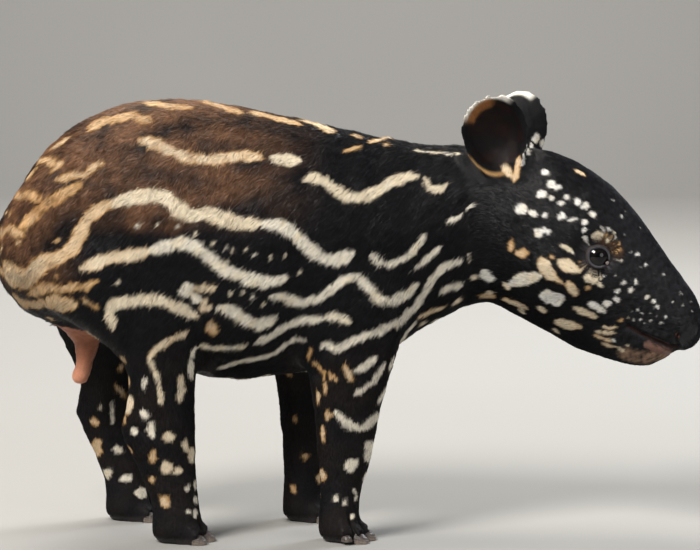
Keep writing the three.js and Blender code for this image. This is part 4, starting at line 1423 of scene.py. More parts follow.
@dataclass
class Hide:
    """Says how bare the skin is and what colour it and its hairs have, anywhere on the body."""

    axis: BodyAxis
    stance: LegStance
    ears: EarFrame
    eyes: list[EyePlace]
    markings: Markings
    projector: Projector
    coat: CoatColours = CoatColours()
    bare: BareColours = BareColours()
    lines: dict[str, list[Trail]] = field(default_factory=dict)

    def __post_init__(self) -> None:
        """Carries the face's lines to the skin, on both sides."""
        for name, line in FACE_LINES.items():
            trails = both_sides(self.projector, self.axis, line.path, line.width)
            for trail in trails:
                trail.radii = np.full(len(trail.points), line.width / 2 * MM)
            self.lines[name] = trails
        for name, fold in (("mouth", MOUTH_LINE), ("nostril", NOSTRIL)):
            self.lines[name] = both_sides(self.projector, self.axis, fold.path, fold.width)

    def close_to(self, name: str, points: Array, normals: Array, start: float,
                 end: float) -> Array:
        """1 on a named line and out to start, and 0 from end on, in millimetres."""
        gap, _ = nearest_trail(self.lines[name], points, normals, end * MM + MM)
        return fall(start * MM, end * MM, gap)

    def lid_share(self, points: Array) -> Array:
        """1 on the lids, fading to 0 round them."""
        share = np.zeros(len(points))
        for eye in self.eyes:
            radius, off, about = eye.polar(points)
            wide = off - eye.edge(about)
            ring = fall(radians(13.0), radians(23.0), wide)
            share = np.maximum(share, ring * (radius < 0.020))
        return share

    def in_sheath(self, points: Array) -> Array:
        """1 on the sheath and 0 at the belly."""
        low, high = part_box("sheath")
        x = (points[:, 0] > low.x - 0.003) & (points[:, 0] < high.x + 0.003)
        y = np.abs(points[:, 1]) < high.y + 0.002
        return (x & y) * fall(high.z - 0.020, high.z - 0.006, points[:, 2])

    def bareness(self, points: Array, normals: Array) -> Array:
        """How bare the skin is, from 0 under full coat to 1."""
        bare = self.lid_share(points)
        for name, start, end in (("mouth", 1.6, 3.0), ("lip", 0.0, 2.0), ("upper", 0.0, 1.5),
                                 ("nose", -3.0, 4.5), ("nostril", 2.5, 4.0)):
            bare = np.maximum(bare, self.close_to(name, points, normals, start, end))
        bare = np.maximum(bare, 0.45 * self.close_to("chin", points, normals, 0.0, 6.0))
        bare = np.maximum(bare, self.in_sheath(points))
        bare = np.maximum(bare, fall(0.003, 0.009, points[:, 2]))
        return np.maximum(bare, 0.88 * self.ear_cup(points, normals))

    def ear_spot(self, points: Array, normals: Array) -> tuple[Array, ...]:
        """Finds places on the ears.

        Args:
            points: rows of x, y, z.
            normals: the way the skin faces at each.

        Returns:
            The share of ear, the distance from the cup's middle with 1 at its rim, the angle
            from the front upwards in degrees, and 1 on the cup's inner face.
        """
        share, _ = self.ears.share(points)
        radius = np.zeros(len(points))
        angle = np.zeros(len(points))
        inner = np.zeros(len(points))
        for side in Side:
            spot = self.ears.to_ear(points, side)
            rows = (share > 0.5) & (np.hypot(spot[:, 0], spot[:, 2]) < 0.055) & (np.abs(spot[:, 1]) < 0.04)
            outwards = self.ears.to_model(np.array([[0.0, 1.0, 0.0]]), side)[0]
            oval = np.hypot(spot[:, 0] / self.ears.half, spot[:, 2] / self.ears.high)
            radius = np.where(rows, oval, radius)
            angle = np.where(rows, np.degrees(np.arctan2(spot[:, 2], spot[:, 0])), angle)
            faces = ramp(-0.15, 0.15, normals @ outwards) * fall(0.93, 1.0, radius)
            inner = np.where(rows, faces, inner)
        return share, radius, angle, inner

    def ear_cup(self, points: Array, normals: Array) -> Array:
        """1 inside the ears' cups."""
        share, radius, angle, inner = self.ear_spot(points, normals)
        band = ramp(72.0, 90.0, angle) * fall(136.0, 152.0, angle)
        edge = 0.74 - 0.20 * band
        return share * inner * fall(edge, edge + 0.12, radius)

    def coat_tones(self, points: Array, normals: Array, softness: float) -> Array:
        """The coat's colour at each point, with painted sunlit sheen in the brown of the back, the rump and a
        patch of the flank.

        Args:
            points: rows of x, y, z.
            normals: the way the skin faces at each.
            softness: half the width over which a mark's edge fades, in metres.

        Returns:
            Rows of linear red, green and blue.
        """
        coat = self.coat
        x, z = points[:, 0], points[:, 2]
        patch = 0.62 + 0.38 * Ripple(0.05, 31).at(points) + 0.15 * Ripple(0.014, 34).at(points)
        # The brown zone of the back, the rump and the flank's patch: partly the coat's own brown, partly
        # painted sunlit sheen.
        upper = fall(-0.14, 0.0, x) * ramp(0.300, 0.345, z)
        upper = np.maximum(upper, self.close_to("flank", points, normals, 0.0, 12.0))
        rear = fall(-0.31, -0.235, x) * ramp(0.22, 0.28, z)
        brown_and_sheen = np.clip(np.maximum(upper * 0.95, rear), 0.0, 1.0) * np.clip(patch, 0.08, 1.0)
        legs = self.stance.share(points)
        base = mix(coat.black, coat.brown, brown_and_sheen)
        base = mix(base, coat.leg_brown, legs * 0.7 * np.clip(patch, 0.0, 1.0))
        mottle = np.clip(0.7 + 0.4 * Ripple(0.006, 35).at(points), 0.1, 1.0)
        base = mix(base, coat.slate, ramp(0.235, 0.290, x) * mottle)
        base = mix(base, coat.brow, self.close_to("brow", points, normals, 0.0, 6.0) * 0.7 * mottle)
        base = mix(base, coat.chin, self.close_to("chin", points, normals, 0.5, 8.0) * mottle)
        gap, tan = self.markings.at(points, normals)
        mark = fall(-softness, softness, gap) * (1.0 - self.lid_share(points))
        burnt = ramp(-2.2 * MM, 0.3 * MM, gap) * ramp(0.15, 0.6, tan) * 0.45
        tan = np.clip(tan * 0.8 + burnt + 0.06 * Ripple(0.02, 32).at(points), 0.0, 1.0)
        creamy = np.maximum(ramp(0.0, 0.2, tan), 0.6 * fall(0.11, 0.17, x))
        pale = mix(coat.white, coat.cream, creamy)
        tanned = mix(coat.tan, coat.deep_tan, np.clip(brown_and_sheen * 1.4, 0.0, 1.0))
        tones = mix(base, mix(pale, tanned, ramp(0.1, 1.0, tan)), mark)
        share, radius, angle, inner = self.ear_spot(points, normals)
        top = ramp(50.0, 64.0, angle) * fall(132.0, 148.0, angle)
        band = ramp(74.0, 92.0, angle) * fall(134.0, 150.0, angle)
        tones = mix(tones, coat.ear_tan, share * inner * ramp(0.58, 0.70, radius) * band)
        low = ramp(-160.0, -140.0, angle) * fall(-96.0, -80.0, angle)
        tones = mix(tones, coat.tan, share * low * ramp(0.86, 0.93, radius) * inner * 0.7)
        return mix(tones, coat.rim_white, share * top * ramp(0.83, 0.90, radius))

    def skin_tones(self, points: Array, normals: Array) -> Array:
        """The skin's colour at each point, bare or under the coat: its own colours, with painted shade in the
        nostrils, the mouth's crease and the lids' grooves, painted highlights on the lids' edges and by the
        nostrils, and some painted sheen on the nose pad.
        """
        bare = self.bare
        tones = self.coat_tones(points, normals, 0.9 * MM) * 0.8
        tones = mix(tones, bare.toe, fall(0.003, 0.010, points[:, 2]))
        # The nose pad's colour, partly painted sheen.
        nose = self.close_to("nose", points, normals, -2.0, 7.0)
        tones = mix(tones, bare.nose, nose)
        lips = np.maximum(self.close_to("lip", points, normals, 0.5, 3.5),
                          self.close_to("upper", points, normals, 0.0, 2.0) * 0.5)
        tones = mix(tones, bare.lip, lips)
        # The mouth's crease: its own dark lining, partly painted shade.
        tones = mix(tones, bare.mouth, self.close_to("mouth", points, normals, 1.2, 2.8))
        # A painted reddish highlight by the nostril.
        tones = mix(tones, bare.wet, self.close_to("wet", points, normals, 0.0, 1.5) * 0.7)
        # The nostril painted near black: painted shade in its opening.
        tones = mix(tones, bare.nostril, self.close_to("nostril", points, normals, 0.8, 2.2))
        for eye in self.eyes:
            radius, off, about = eye.polar(points)
            wide = np.degrees(off - eye.edge(about))
            close = radius < 0.020
            tones = mix(tones, bare.lid, fall(16.0, 27.0, wide) * close)
            tones = mix(tones, bare.lid_roll, fall(13.0, 18.0, wide) * close)
            # The groove round the lids painted near black: painted shade in the crease.
            tones = mix(tones, bare.lid_groove_shade, bell(wide - 20.0, 3.5) * close)
            # A painted highlight along the lids' inner edge.
            tones = mix(tones, bare.lid_edge_highlight, bell(wide - 1.0, 3.0) * close * 0.8)
        low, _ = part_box("sheath")
        tip = fall(low.z, low.z + 0.035, points[:, 2])
        tones = mix(tones, mix(bare.sheath, bare.sheath_tip, tip), self.in_sheath(points))
        red = np.clip(0.4 + 0.5 * Ripple(0.02, 33).at(points), 0.0, 1.0)
        cup = mix(bare.ear, bare.ear_red, red * 0.6)
        return mix(tones, cup, self.ear_cup(points, normals))


# The coat


@dataclass(frozen=True)
class Growth:
    """How the hair grows at each root: its length, half width, lift, and how densely, per square metre."""

    length: Array
    half: Array
    lift: Array
    density: Array


@dataclass
class Coat:
    """The coat's tufts, thin and overlapping along the lie of the hair, in a few joined pieces."""

    skin: Skin
    hide: Hide
    most: int = 48000
    seed: int = 5
    patch: float = 0.003
    bed: float = 0.35 * MM
    ridge: float = 0.32 * MM
    softness: float = 0.45 * MM
    corners: Array = field(init=False)
    triangles: Array = field(init=False)
    normals: Array = field(init=False)

    def __post_init__(self) -> None:
        """Reads the finished skin's triangles."""
        surface = Surface(self.skin.piece.data)
        surface.mesh.calc_loop_triangles()
        self.triangles = read(surface.mesh.loop_triangles, "vertices", 3, np.int32)
        self.corners = surface.points
        self.normals = surface.normals()

    def regions(self) -> dict[str, Array]:
        """The skin's triangles in each of the coat's pieces."""
        middles = self.corners[self.triangles].mean(axis=1)
        along, out = self.skin.axis.to_body(middles)
        ear, _ = self.skin.ears.share(middles)
        leg = (self.skin.stance.share(middles) > 0.5) & (ear < 0.5)
        ear = ear > 0.5
        head = (along > 0.125) & ~ear & ~leg
        rump = (middles[:, 0] < -0.13) & ~leg & ~head & ~ear
        flank = ~(ear | head | leg | rump)
        left = out > 0.0
        found = {
            "coat_ears": ear,
            "coat_hind_legs": leg & (middles[:, 0] < -0.1),
            "coat_fore_legs": leg & (middles[:, 0] > -0.1),
        }
        for name, rows in (("head", head), ("flank", flank), ("rump", rump)):
            found[f"coat_{name}_right"] = rows & ~left
            found[f"coat_{name}_left"] = rows & left
        return {name: np.flatnonzero(rows) for name, rows in found.items()}

    def growth(self, points: Array, normals: Array) -> Growth:
        """Finds how the hair grows.

        Args:
            points: rows of x, y, z.
            normals: the way the skin faces at each.

        Returns:
            The growth at each point.
        """
        axis, stance = self.skin.axis, self.skin.stance
        along, _ = axis.to_body(points)
        z = points[:, 2]
        legs = stance.share(points)
        head = ramp(0.13, 0.21, along)
        length = 7.0 - 2.6 * head - 2.0 * ramp(0.235, 0.335, along)
        length += (1.2 * ramp(0.6, 0.95, -normals[:, 2]) + 0.8 * ramp(0.85, 1.0, normals[:, 2])) * (1 - head)
        length = blend(length, 1.9 + 3.1 * ramp(0.015, 0.17, z), legs)
        half = blend(0.46 - 0.17 * head - 0.07 * ramp(0.25, 0.33, along), 0.36, legs)
        density = blend(0.56 + 0.60 * head, 0.80, legs)
        share, radius, _, inner = self.hide.ear_spot(points, normals)
        cup = fall(0.66, 0.82, radius)
        length = np.where(share > 0.5, 1.1 + cup * (1.1 + 2.2 * inner), length)
        half = np.where(share > 0.5, 0.19, half)
        density = np.where(share > 0.5, 1.3 - 0.5 * inner, density)
        for eye in self.skin.eyes:
            near = fall(0.014, 0.030, np.linalg.norm(points - eye.middle, axis=1))
            length = length * (1.0 - 0.45 * near)
        length += 3.5 * self.hide.close_to("notch", points, normals, 1.0, 6.0)
        lift = 0.15 * length + 0.10
        return Growth(length * MM, half * MM, lift * MM, density / MM**2)

    def flow(self, points: Array, normals: Array) -> Array:
        """Finds the way the hair lies along the skin.

        Args:
            points: rows of x, y, z.
            normals: the way the skin faces at each.

        Returns:
            A direction at each point.
        """
        axis, stance, ears = self.skin.axis, self.skin.stance, self.skin.ears
        along, _ = axis.to_body(points)
        trunk = np.tile((-0.64, 0.0, -0.77), (len(points), 1))
        neck = ramp(0.105, 0.20, along)
        face = axis.ahead(along) * -0.87
        face[:, 2] += 0.50 - 0.75 * fall(0.20, 0.30, points[:, 2])
        lie = mix(trunk, face, neck)
        lie = mix(lie, (-0.15, 0.0, -1.0), stance.share(points))
        share, side = ears.share(points)
        for which in Side:
            spot = ears.to_ear(points, which)
            fan = np.stack([spot[:, 0] * 9.0, np.zeros(len(points)), np.full(len(points), 1.0)], axis=1)
            rows = (share > 0.5) & (side == which.value)
            lie = np.where(rows[:, None], ears.to_model(fan, which), lie)
        _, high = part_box("tail")
        tail = (points[:, 0] < high.x - 0.004) & (np.abs(points[:, 1]) < 0.02) & (points[:, 2] < high.z)
        lie = np.where(tail[:, None], (-0.25, 0.0, -1.0), lie)
        lie = unit(lie - normals * (lie * normals).sum(axis=1, keepdims=True))
        across = np.cross(normals, lie)
        rough = 0.30 * Ripple(0.013, 42).at(points) + 0.34 * Ripple(0.0055, 44).at(points)
        swirl = 0.16 * Ripple(0.06, 41).at(points) + rough * self.ruffle(points, normals)
        return unit(lie * np.cos(swirl)[:, None] + across * np.sin(swirl)[:, None])

    @staticmethod
    def ruffle(points: Array, normals: Array) -> Array:
        """How ruffled the coat is: least on shoulders and neck, most on the back and rump."""
        back = fall(-0.12, 0.03, points[:, 0]) * ramp(0.29, 0.35, points[:, 2])
        rump = fall(-0.30, -0.20, points[:, 0]) * ramp(0.20, 0.27, points[:, 2])
        crest = 0.6 * ramp(0.70, 0.92, normals[:, 2]) * fall(0.12, 0.16, points[:, 0])
        face = 0.5 * ramp(0.22, 0.28, points[:, 0])
        return 0.32 + 0.68 * np.max([back, rump, crest, face], axis=0)

    def unwrap(self, rows: Array) -> Array:
        """Unwraps some of the skin's triangles, by their own shape.

        Args:
            rows: which triangles.

        Returns:
            Each triangle's three places on the unwrap, filling the square.
        """
        used, flat = np.unique(self.triangles[rows], return_inverse=True)
        mesh = bpy.data.meshes.new("unwrap")
        mesh.from_pydata(self.corners[used].tolist(), [], flat.reshape(-1, 3).tolist())
        mesh.uv_layers.new(name="OFBake")
        piece = add_object("unwrap", mesh)
        with editing(piece, "FACE"):
            bpy.ops.uv.smart_project(angle_limit=radians(66.0), island_margin=0.0)
        places = read(mesh.uv_layers["OFBake"].uv, "vector", 2).reshape(-1, 3, 2).astype(float)
        bpy.data.objects.remove(piece)
        bpy.data.meshes.remove(mesh)
        low = places.min(axis=(0, 1))
        high = places.max(axis=(0, 1))
        edge = self.patch
        return edge + (places - low) / (high - low) * (1.0 - 2.0 * edge)

    def scatter(self, rows: Array, rng: np.random.Generator) -> tuple[Array, Array]:
        """Chooses roots on some of the skin's triangles, evenly and more where the hair is denser.

        Args:
            rows: which triangles.
            rng: the random draws.

        Returns:
            For each root, its triangle's place among the rows, and its weights of the corners.
        """
        corners = self.corners[self.triangles[rows]]
        facing = unit(self.normals[self.triangles[rows]].mean(axis=1))
        middles = corners.mean(axis=1)
        first, second = corners[:, 1] - corners[:, 0], corners[:, 2] - corners[:, 0]
        area = np.linalg.norm(np.cross(first, second), axis=1) / 2
        bare = self.hide.bareness(middles, facing)
        wanted = area * self.growth(middles, facing).density * (1.0 - bare) ** 1.5
        total = np.cumsum(wanted)
        count = min(self.most, int(total[-1]))
        at = (np.arange(count) + rng.random(count)) / count * total[-1]
        chosen = np.minimum(np.searchsorted(total, at), len(rows) - 1)
        first = np.sqrt(rng.random(count))
        second = rng.random(count)
        weights = np.stack([1.0 - first, first * (1.0 - second), first * second], axis=1)
        return chosen, weights

    def grow(self, name: str, rows: Array, rng: np.random.Generator, material: Material) -> None:
        """Makes one piece of the coat.

        Args:
            name: the piece's name.
            rows: the skin's triangles that it grows on.
            rng: the random draws.
            material: the coat's finish.
        """
        chosen, weights = self.scatter(rows, rng)
        own = self.triangles[rows[chosen]]
        roots = (self.corners[own] * weights[:, :, None]).sum(axis=1)
        normals = unit((self.normals[own] * weights[:, :, None]).sum(axis=1))
        growth = self.growth(roots, normals)
        lie = self.flow(roots, normals)
        across = np.cross(normals, lie)
        count = len(roots)
        stray = rng.normal(0.0, 0.11, count)
        lie = unit(lie * np.cos(stray)[:, None] + across * np.sin(stray)[:, None])
        across = np.cross(normals, lie)
        length = growth.length * rng.uniform(0.70, 1.30, count)
        half = growth.half * rng.uniform(0.6, 1.3, count)
        ruffle = self.ruffle(roots, normals)
        clump = (Ripple(0.0055, 45).at(roots) + 0.8 * Ripple(0.014, 46).at(roots)) * ruffle
        lift = growth.lift * rng.uniform(0.3, 1.35, count) * np.clip(1.0 + 0.4 * clump, 0.4, 1.8)
        bed = normals * self.bed
        ridge = normals * self.ridge + lie * (length * 0.15)[:, None]
        tip = lie * length[:, None] + normals * lift[:, None]
        side = across * half[:, None]
        points = np.stack([roots + side - bed, roots - side - bed, roots + ridge, roots + tip], axis=1)
        lean = rng.normal(0.0, 0.26, count) + 0.2 * Ripple(0.0055, 47).at(roots)
        tilt = across * (lean * ruffle)[:, None]
        tilt += lie * (rng.normal(0.0, 0.16, count) * ruffle + 0.14 * clump)[:, None]
        looks = np.stack([
            normals * 0.8 + across * 0.6,
            normals * 0.8 - across * 0.6,
            normals,
            normals * 0.92 + lie * 0.25,
        ], axis=1) + tilt[:, None, :]
        stray = rng.normal(0.0, 0.38 * MM, (count, 3))
        stray += lie * (length * rng.normal(0.0, 0.14, count))[:, None]
        shades = np.empty((count, 4, 3))
        for corners, along in (((0, 1, 2), 0.30), ((3,), 0.75)):
            probes = roots + stray + lie * (length * along)[:, None]
            shades[:, corners] = self.hide.coat_tones(probes, normals, self.softness)[:, None, :]
        pale = ramp(0.05, 0.3, shades[:, :, 0])
        odd = np.exp(rng.normal(0.0, 0.40, count))[:, None] * (1.0 - pale)
        odd += (rng.uniform(0.70, 1.12, count) * (1.0 - 0.7 * (rng.random(count) < 0.06)))[:, None] * pale
        # Each tuft darker at its two root corners than at its ridge and tip: painted shade between the hairs
        # near the skin.
        odd *= np.array([0.60, 0.60, 0.95, 1.08])
        shades *= odd[:, :, None]
        places = (self.unwrap(rows)[chosen] * weights[:, :, None]).sum(axis=1)
        piece = self.tufts_mesh(name, points, unit(looks), np.clip(shades, 0.0, 1.0), places)
        piece.data.materials.append(material)
        finish_piece(piece, [])

    def tufts_mesh(self, name: str, points: Array, looks: Array, shades: Array,
                   places: Array) -> Piece:
        """Joins tufts into one mesh.

        Args:
            name: the piece's name.
            points: for each tuft its two root corners, its ridge and its tip.
            looks: the shading normals of the same four.
            shades: their colours.
            places: each root's place on the skin's unwrap.

        Returns:
            The piece.
        """
        count = len(points)
        faces = np.array([[0, 2, 3], [2, 1, 3], [1, 0, 3], [0, 1, 2]])
        corners = (faces[None, :, :] + 4 * np.arange(count)[:, None, None]).ravel()
        mesh = bpy.data.meshes.new(name)
        mesh.vertices.add(count * 4)
        store(mesh.vertices, "co", points)
        mesh.loops.add(len(corners))
        mesh.loops.foreach_set("vertex_index", corners.astype(np.int32))
        mesh.polygons.add(count * 4)
        mesh.polygons.foreach_set("loop_start", np.arange(0, len(corners), 3, dtype=np.int32))
        mesh.update(calc_edges=True)
        mesh.polygons.foreach_set("use_smooth", np.ones(count * 4, bool))
        corner_shift = np.array([[-0.5, -0.5], [0.5, -0.5], [0.5, 0.5], [-0.5, 0.5]]) * self.patch * 0.9
        spread = places[:, None, :] + corner_shift[None, :, :]
        uv = np.clip(spread, 0.0, 1.0)[:, faces.ravel(), :].reshape(-1, 2)
        store(mesh.uv_layers.new(name="OFBake").uv, "vector", uv)
        paint(mesh, shades.reshape(-1, 3))
        mesh.normals_split_custom_set_from_vertices(looks.reshape(-1, 3).tolist())
        return add_object(name, mesh)

    def make(self, material: Material) -> None:
        """Makes every piece of the coat."""
        rng = np.random.default_rng(self.seed)
        for name, rows in self.regions().items():
            self.grow(name, rows, rng, material)


# Eyes and hooves


@dataclass
class EyeBuilder:
    """An eyeball with its wet corner, in place of the eye's node."""

    place: EyePlace
    cornea: float = 0.0004
    pupil: float = radians(20.0)
    iris: float = radians(47.0)
    corner_size: float = 0.0027
    pupil_black: Colour = (0.0006, 0.0007, 0.0012)
    iris_inner: Colour = (0.0070, 0.0048, 0.0045)
    iris_outer: Colour = (0.0035, 0.0032, 0.0040)
    ball_dark: Colour = (0.0040, 0.0034, 0.0040)

    def make(self, material: Material, wet: Material) -> None:
        """Makes the ball, bulged over the iris, and the corner's soft pink piece."""
        side = self.place.side.name.lower()
        bpy.ops.mesh.primitive_uv_sphere_add(segments=96, ring_count=80, radius=self.place.ball)
        ball = name_new(f"eyeball_{side}")
        turn = Vector((0.0, 0.0, 1.0)).rotation_difference(Vector(self.place.gaze))
        ball.data.transform(Matrix.Translation(self.place.middle) @ turn.to_matrix().to_4x4())
        surface = Surface(ball.data)
        _, off, about = self.place.polar(surface.points)
        outwards = unit(surface.points - self.place.middle)
        bulge = self.cornea * fall(0.0, self.iris, off)
        brim = np.degrees(off - self.place.edge(about)) + 3.5
        tears = bell(brim, 2.2) * (0.22 - 0.20 * np.sin(about)) * MM
        tears *= 1.0 + 0.35 * np.sin(about * 21.0) * np.sin(about * 13.0 + 0.7)
        surface.points += outwards * (bulge + tears)[:, None]
        surface.write()
        iris = mix(self.iris_inner, self.iris_outer, ramp(self.pupil, self.iris, off))
        fibre = 1.0 + 0.35 * np.sin(about * 46.0) * np.sin(about * 17.0 + 1.0)
        outside = ramp(self.pupil - 0.05, self.pupil + 0.05, off)
        tones = mix(self.pupil_black, iris * fibre[:, None], outside)
        tones = mix(tones, self.ball_dark, ramp(self.iris - 0.06, self.iris + 0.02, off))
        paint(ball.data, tones)
        dress(ball, material, [f"eye_{side}"])
        self.make_corner(side, wet)

    def make_corner(self, side: str, wet: Material) -> None:
        """The wet fold of skin in the eye's front corner."""
        eye = self.place
        about = eye.front_corner
        off = float(eye.edge(np.array([about]))[0]) - radians(7.0)
        across = eye.ahead * cos(about) + eye.up() * sin(about)
        out = eye.gaze * cos(off) + across * sin(off)
        away = across * cos(off) - eye.gaze * sin(off)
        bpy.ops.mesh.primitive_uv_sphere_add(segments=24, ring_count=14, radius=self.corner_size)
        corner = name_new(f"eye_corner_{side}")
        turn = Matrix((away, np.cross(out, away), out)).transposed().to_4x4()
        shape = Matrix.Diagonal((1.25, 0.80, 0.45, 1.0))
        corner.data.transform(Matrix.Translation(eye.middle + out * (eye.ball + 0.0002)) @ turn @ shape)
        surface = Surface(corner.data)
        lumps = Ripple(0.0016, 51).at(surface.points) * 0.00012
        surface.points += unit(surface.points - surface.points.mean(axis=0)) * lumps[:, None]
        surface.write()
        dress(corner, wet, [])


@dataclass
class HoofBuilder:
    """The small hooves: each solid remeshed, rounded, and ringed round with growth lines."""

    voxel: float = 0.0008
    plump: float = 0.00025
    rings: float = 0.00016
    ring_wave: float = 0.0024

    def make(self, node: str, material: Material) -> None:
        """Makes one hoof in place of its node."""
        hoof = merged_copy(node, f"horn_{node}")
        apply_modifier(hoof, "REMESH", mode="VOXEL", voxel_size=self.voxel)
        surface = Surface(hoof.data)
        surface.soften(np.full(len(surface.points), 0.5), 9)
        height = surface.points[:, 2] + surface.points[:, 0] * 0.25
        waves = np.sin(height / self.ring_wave * 2.0 * pi) * self.rings
        surface.points += surface.normals() * (waves + self.plump)[:, None]
        low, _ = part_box(node)
        surface.points[:, 2] = np.maximum(surface.points[:, 2], low.z)
        surface.write()
        dress(hoof, material, [node])


# Finishes


class Sockets:
    """Adds nodes to a tree and joins them."""

    def __init__(self, tree: bpy.types.NodeTree) -> None:
        """Works on this tree."""
        self.tree = tree

    def add(self, kind: str, values: dict[str | int, object] | None = None, **settings: object) -> Node:
        """Adds a node with its settings, and plain values for its inputs by name or number."""
        node = self.tree.nodes.new(kind)
        for name, value in settings.items():
            setattr(node, name, value)
        for entry, value in (values or {}).items():
            node.inputs[entry].default_value = value
        return node

    def join(self, start: Node, output: str | int, end: Node, entry: str | int) -> None:
        """Joins one node's output to another's input."""
        self.tree.links.new(start.outputs[output], end.inputs[entry])

    def placed(self, kind: str, values: dict[str | int, object] | None = None, **settings: object) -> Node:
        """Adds a texture that lies in the object's own space."""
        texture = self.add(kind, values, **settings)
        self.join(self.add("ShaderNodeTexCoord"), "Object", texture, "Vector")
        return texture

    def colours(self, source: Node, low: Colour, high: Colour, start: float, end: float) -> Node:
        """Adds a ramp between two colours, driven by a node's first output."""
        colours = self.add("ShaderNodeValToRGB")
        for stop, position, colour in zip(colours.color_ramp.elements, (start, end), (low, high)):
            stop.position = position
            stop.color = (*colour, 1.0)
        self.join(source, 0, colours, "Fac")
        return colours

    def between(self, source: Node, output: str, low: float, high: float, end: Node,
                entry: str) -> None:
        """Sends a value that runs from 0 to 1 to an input that runs from low to high."""
        level = self.add("ShaderNodeMapRange", {"To Min": low, "To Max": high})
        self.join(source, output, level, "Value")
        self.join(level, "Result", end, entry)


def new_group(name: str, entries: tuple[str, ...], leaves: tuple[str, ...]) -> Sockets:
    """Starts a node group whose sockets named Color are colours and the others numbers."""
    group = bpy.data.node_groups.new(name, "ShaderNodeTree")
    for way, titles in (("INPUT", entries), ("OUTPUT", leaves)):
        for title in titles:
            kind = "NodeSocketColor" if title == "Color" else "NodeSocketFloat"
            group.interface.new_socket(name=title, in_out=way, socket_type=kind)
    return Sockets(group)


def new_material(name: str, values: dict[str | int, object]) -> tuple[Material, Sockets, Node]:
    """A material, the helper that adds its nodes, and its Principled shader with some plain values."""
    material = bpy.data.materials.new(name)
    material.use_nodes = True
    shader = next(node for node in material.node_tree.nodes if node.type == "BSDF_PRINCIPLED")
    for entry, value in values.items():
        shader.inputs[entry].default_value = value
    return material, Sockets(material.node_tree), shader


@dataclass
class Effects:
    """What the finishes share: a colour that wanders a little, and the fine relief of skin and horn."""

    drift: bpy.types.NodeTree = field(init=False)
    relief: bpy.types.NodeTree = field(init=False)

    def __post_init__(self) -> None:
        """Builds both groups once."""
        self.drift = self.make_drift()
        self.relief = self.make_relief()

    @staticmethod
    def make_drift() -> bpy.types.NodeTree:
        """A colour made lighter and darker in two sizes of patch, and the finer patches as a mask."""
        make = new_group("tone_drift", ("Color", "Coarse", "Fine", "Amount"), ("Color", "Mask"))
        entry = make.add("NodeGroupInput")
        leave = make.add("NodeGroupOutput")
        both = make.add("ShaderNodeMath", operation="ADD")
        for k, size in enumerate(("Coarse", "Fine")):
            noise = make.placed("ShaderNodeTexNoise")
            make.join(entry, size, noise, "Scale")
            make.join(noise, "Fac", both, k)
        centred = make.add("ShaderNodeMath", {1: 1.0}, operation="SUBTRACT")
        make.join(both, 0, centred, 0)
        times = make.add("ShaderNodeMath", {2: 1.0}, operation="MULTIPLY_ADD")
        make.join(centred, 0, times, 0)
        make.join(entry, "Amount", times, 1)
        colour = make.add("ShaderNodeVectorMath", operation="SCALE")
        make.join(entry, "Color", colour, 0)
        make.join(times, 0, colour, "Scale")
        make.join(colour, "Vector", leave, "Color")
        make.join(noise, "Fac", leave, "Mask")
        return make.tree

    @staticmethod
    def make_relief() -> bpy.types.NodeTree:
        """A bump's height from small cells and grain."""
        make = new_group("fine_relief", ("Cells", "Grain"), ("Height",))
        entry = make.add("NodeGroupInput")
        leave = make.add("NodeGroupOutput")
        cells = make.placed("ShaderNodeTexVoronoi", feature="DISTANCE_TO_EDGE")
        grain = make.placed("ShaderNodeTexNoise", {"Detail": 3.0})
        make.join(entry, "Cells", cells, "Scale")
        make.join(entry, "Grain", grain, "Scale")
        edge = make.add("ShaderNodeMapRange", {"From Max": 0.18})
        make.join(cells, "Distance", edge, "Value")
        total = make.add("ShaderNodeMath", {1: 0.8}, operation="MULTIPLY_ADD")
        make.join(grain, "Fac", total, 0)
        make.join(edge, "Result", total, 2)
        make.join(total, 0, leave, "Height")
        return make.tree

    def wander(self, make: Sockets, source: Node, shader: Node, coarse: float, fine: float,
               amount: float) -> Node:
        """Sends a node's first output to the shader's base colour, wandering a little."""
        values = {"Coarse": coarse, "Fine": fine, "Amount": amount}
        wander = make.add("ShaderNodeGroup", values, node_tree=self.drift)
        make.join(source, 0, wander, "Color")
        make.join(wander, "Color", shader, "Base Color")
        return wander

    def rise(self, make: Sockets, shader: Node, cells: float, grain: float, depth: float,
             strength: float) -> None:
        """Gives the shader a bump from the fine relief.

        Args:
            make: adds the nodes.
            shader: the material's shader.
            cells: the cells' scale.
            grain: the grain's scale.
            depth: the bump's distance, in metres.
            strength: its strength.
        """
        height = make.add("ShaderNodeGroup", {"Cells": cells, "Grain": grain}, node_tree=self.relief)
        bump = make.add("ShaderNodeBump", {"Distance": depth, "Strength": strength})
        make.join(height, "Height", bump, "Height")
        make.join(bump, "Normal", shader, "Normal")


@dataclass(frozen=True)
class CoatFinish:
    """The tufts: their stored colour with a little drift, and a soft shine along the hair."""

    roughness: float = 0.36
    shine: float = 0.11
    sheen: float = 0.012
    sheen_tint: Colour = (0.75, 0.85, 1.0)

    def make(self, effects: Effects) -> Material:
        """Builds the material."""
        material, make, shader = new_material("coat_hair", {
            "Specular IOR Level": self.shine,
            "Sheen Weight": self.sheen,
            "Sheen Roughness": 0.35,
            "Sheen Tint": (*self.sheen_tint, 1.0),
        })
        tone = make.add("ShaderNodeAttribute", attribute_name=TONE)
        wander = effects.wander(make, tone, shader, coarse=60.0, fine=900.0, amount=0.45)
        make.between(wander, "Mask", self.roughness - 0.08, self.roughness + 0.10, shader, "Roughness")
        return material


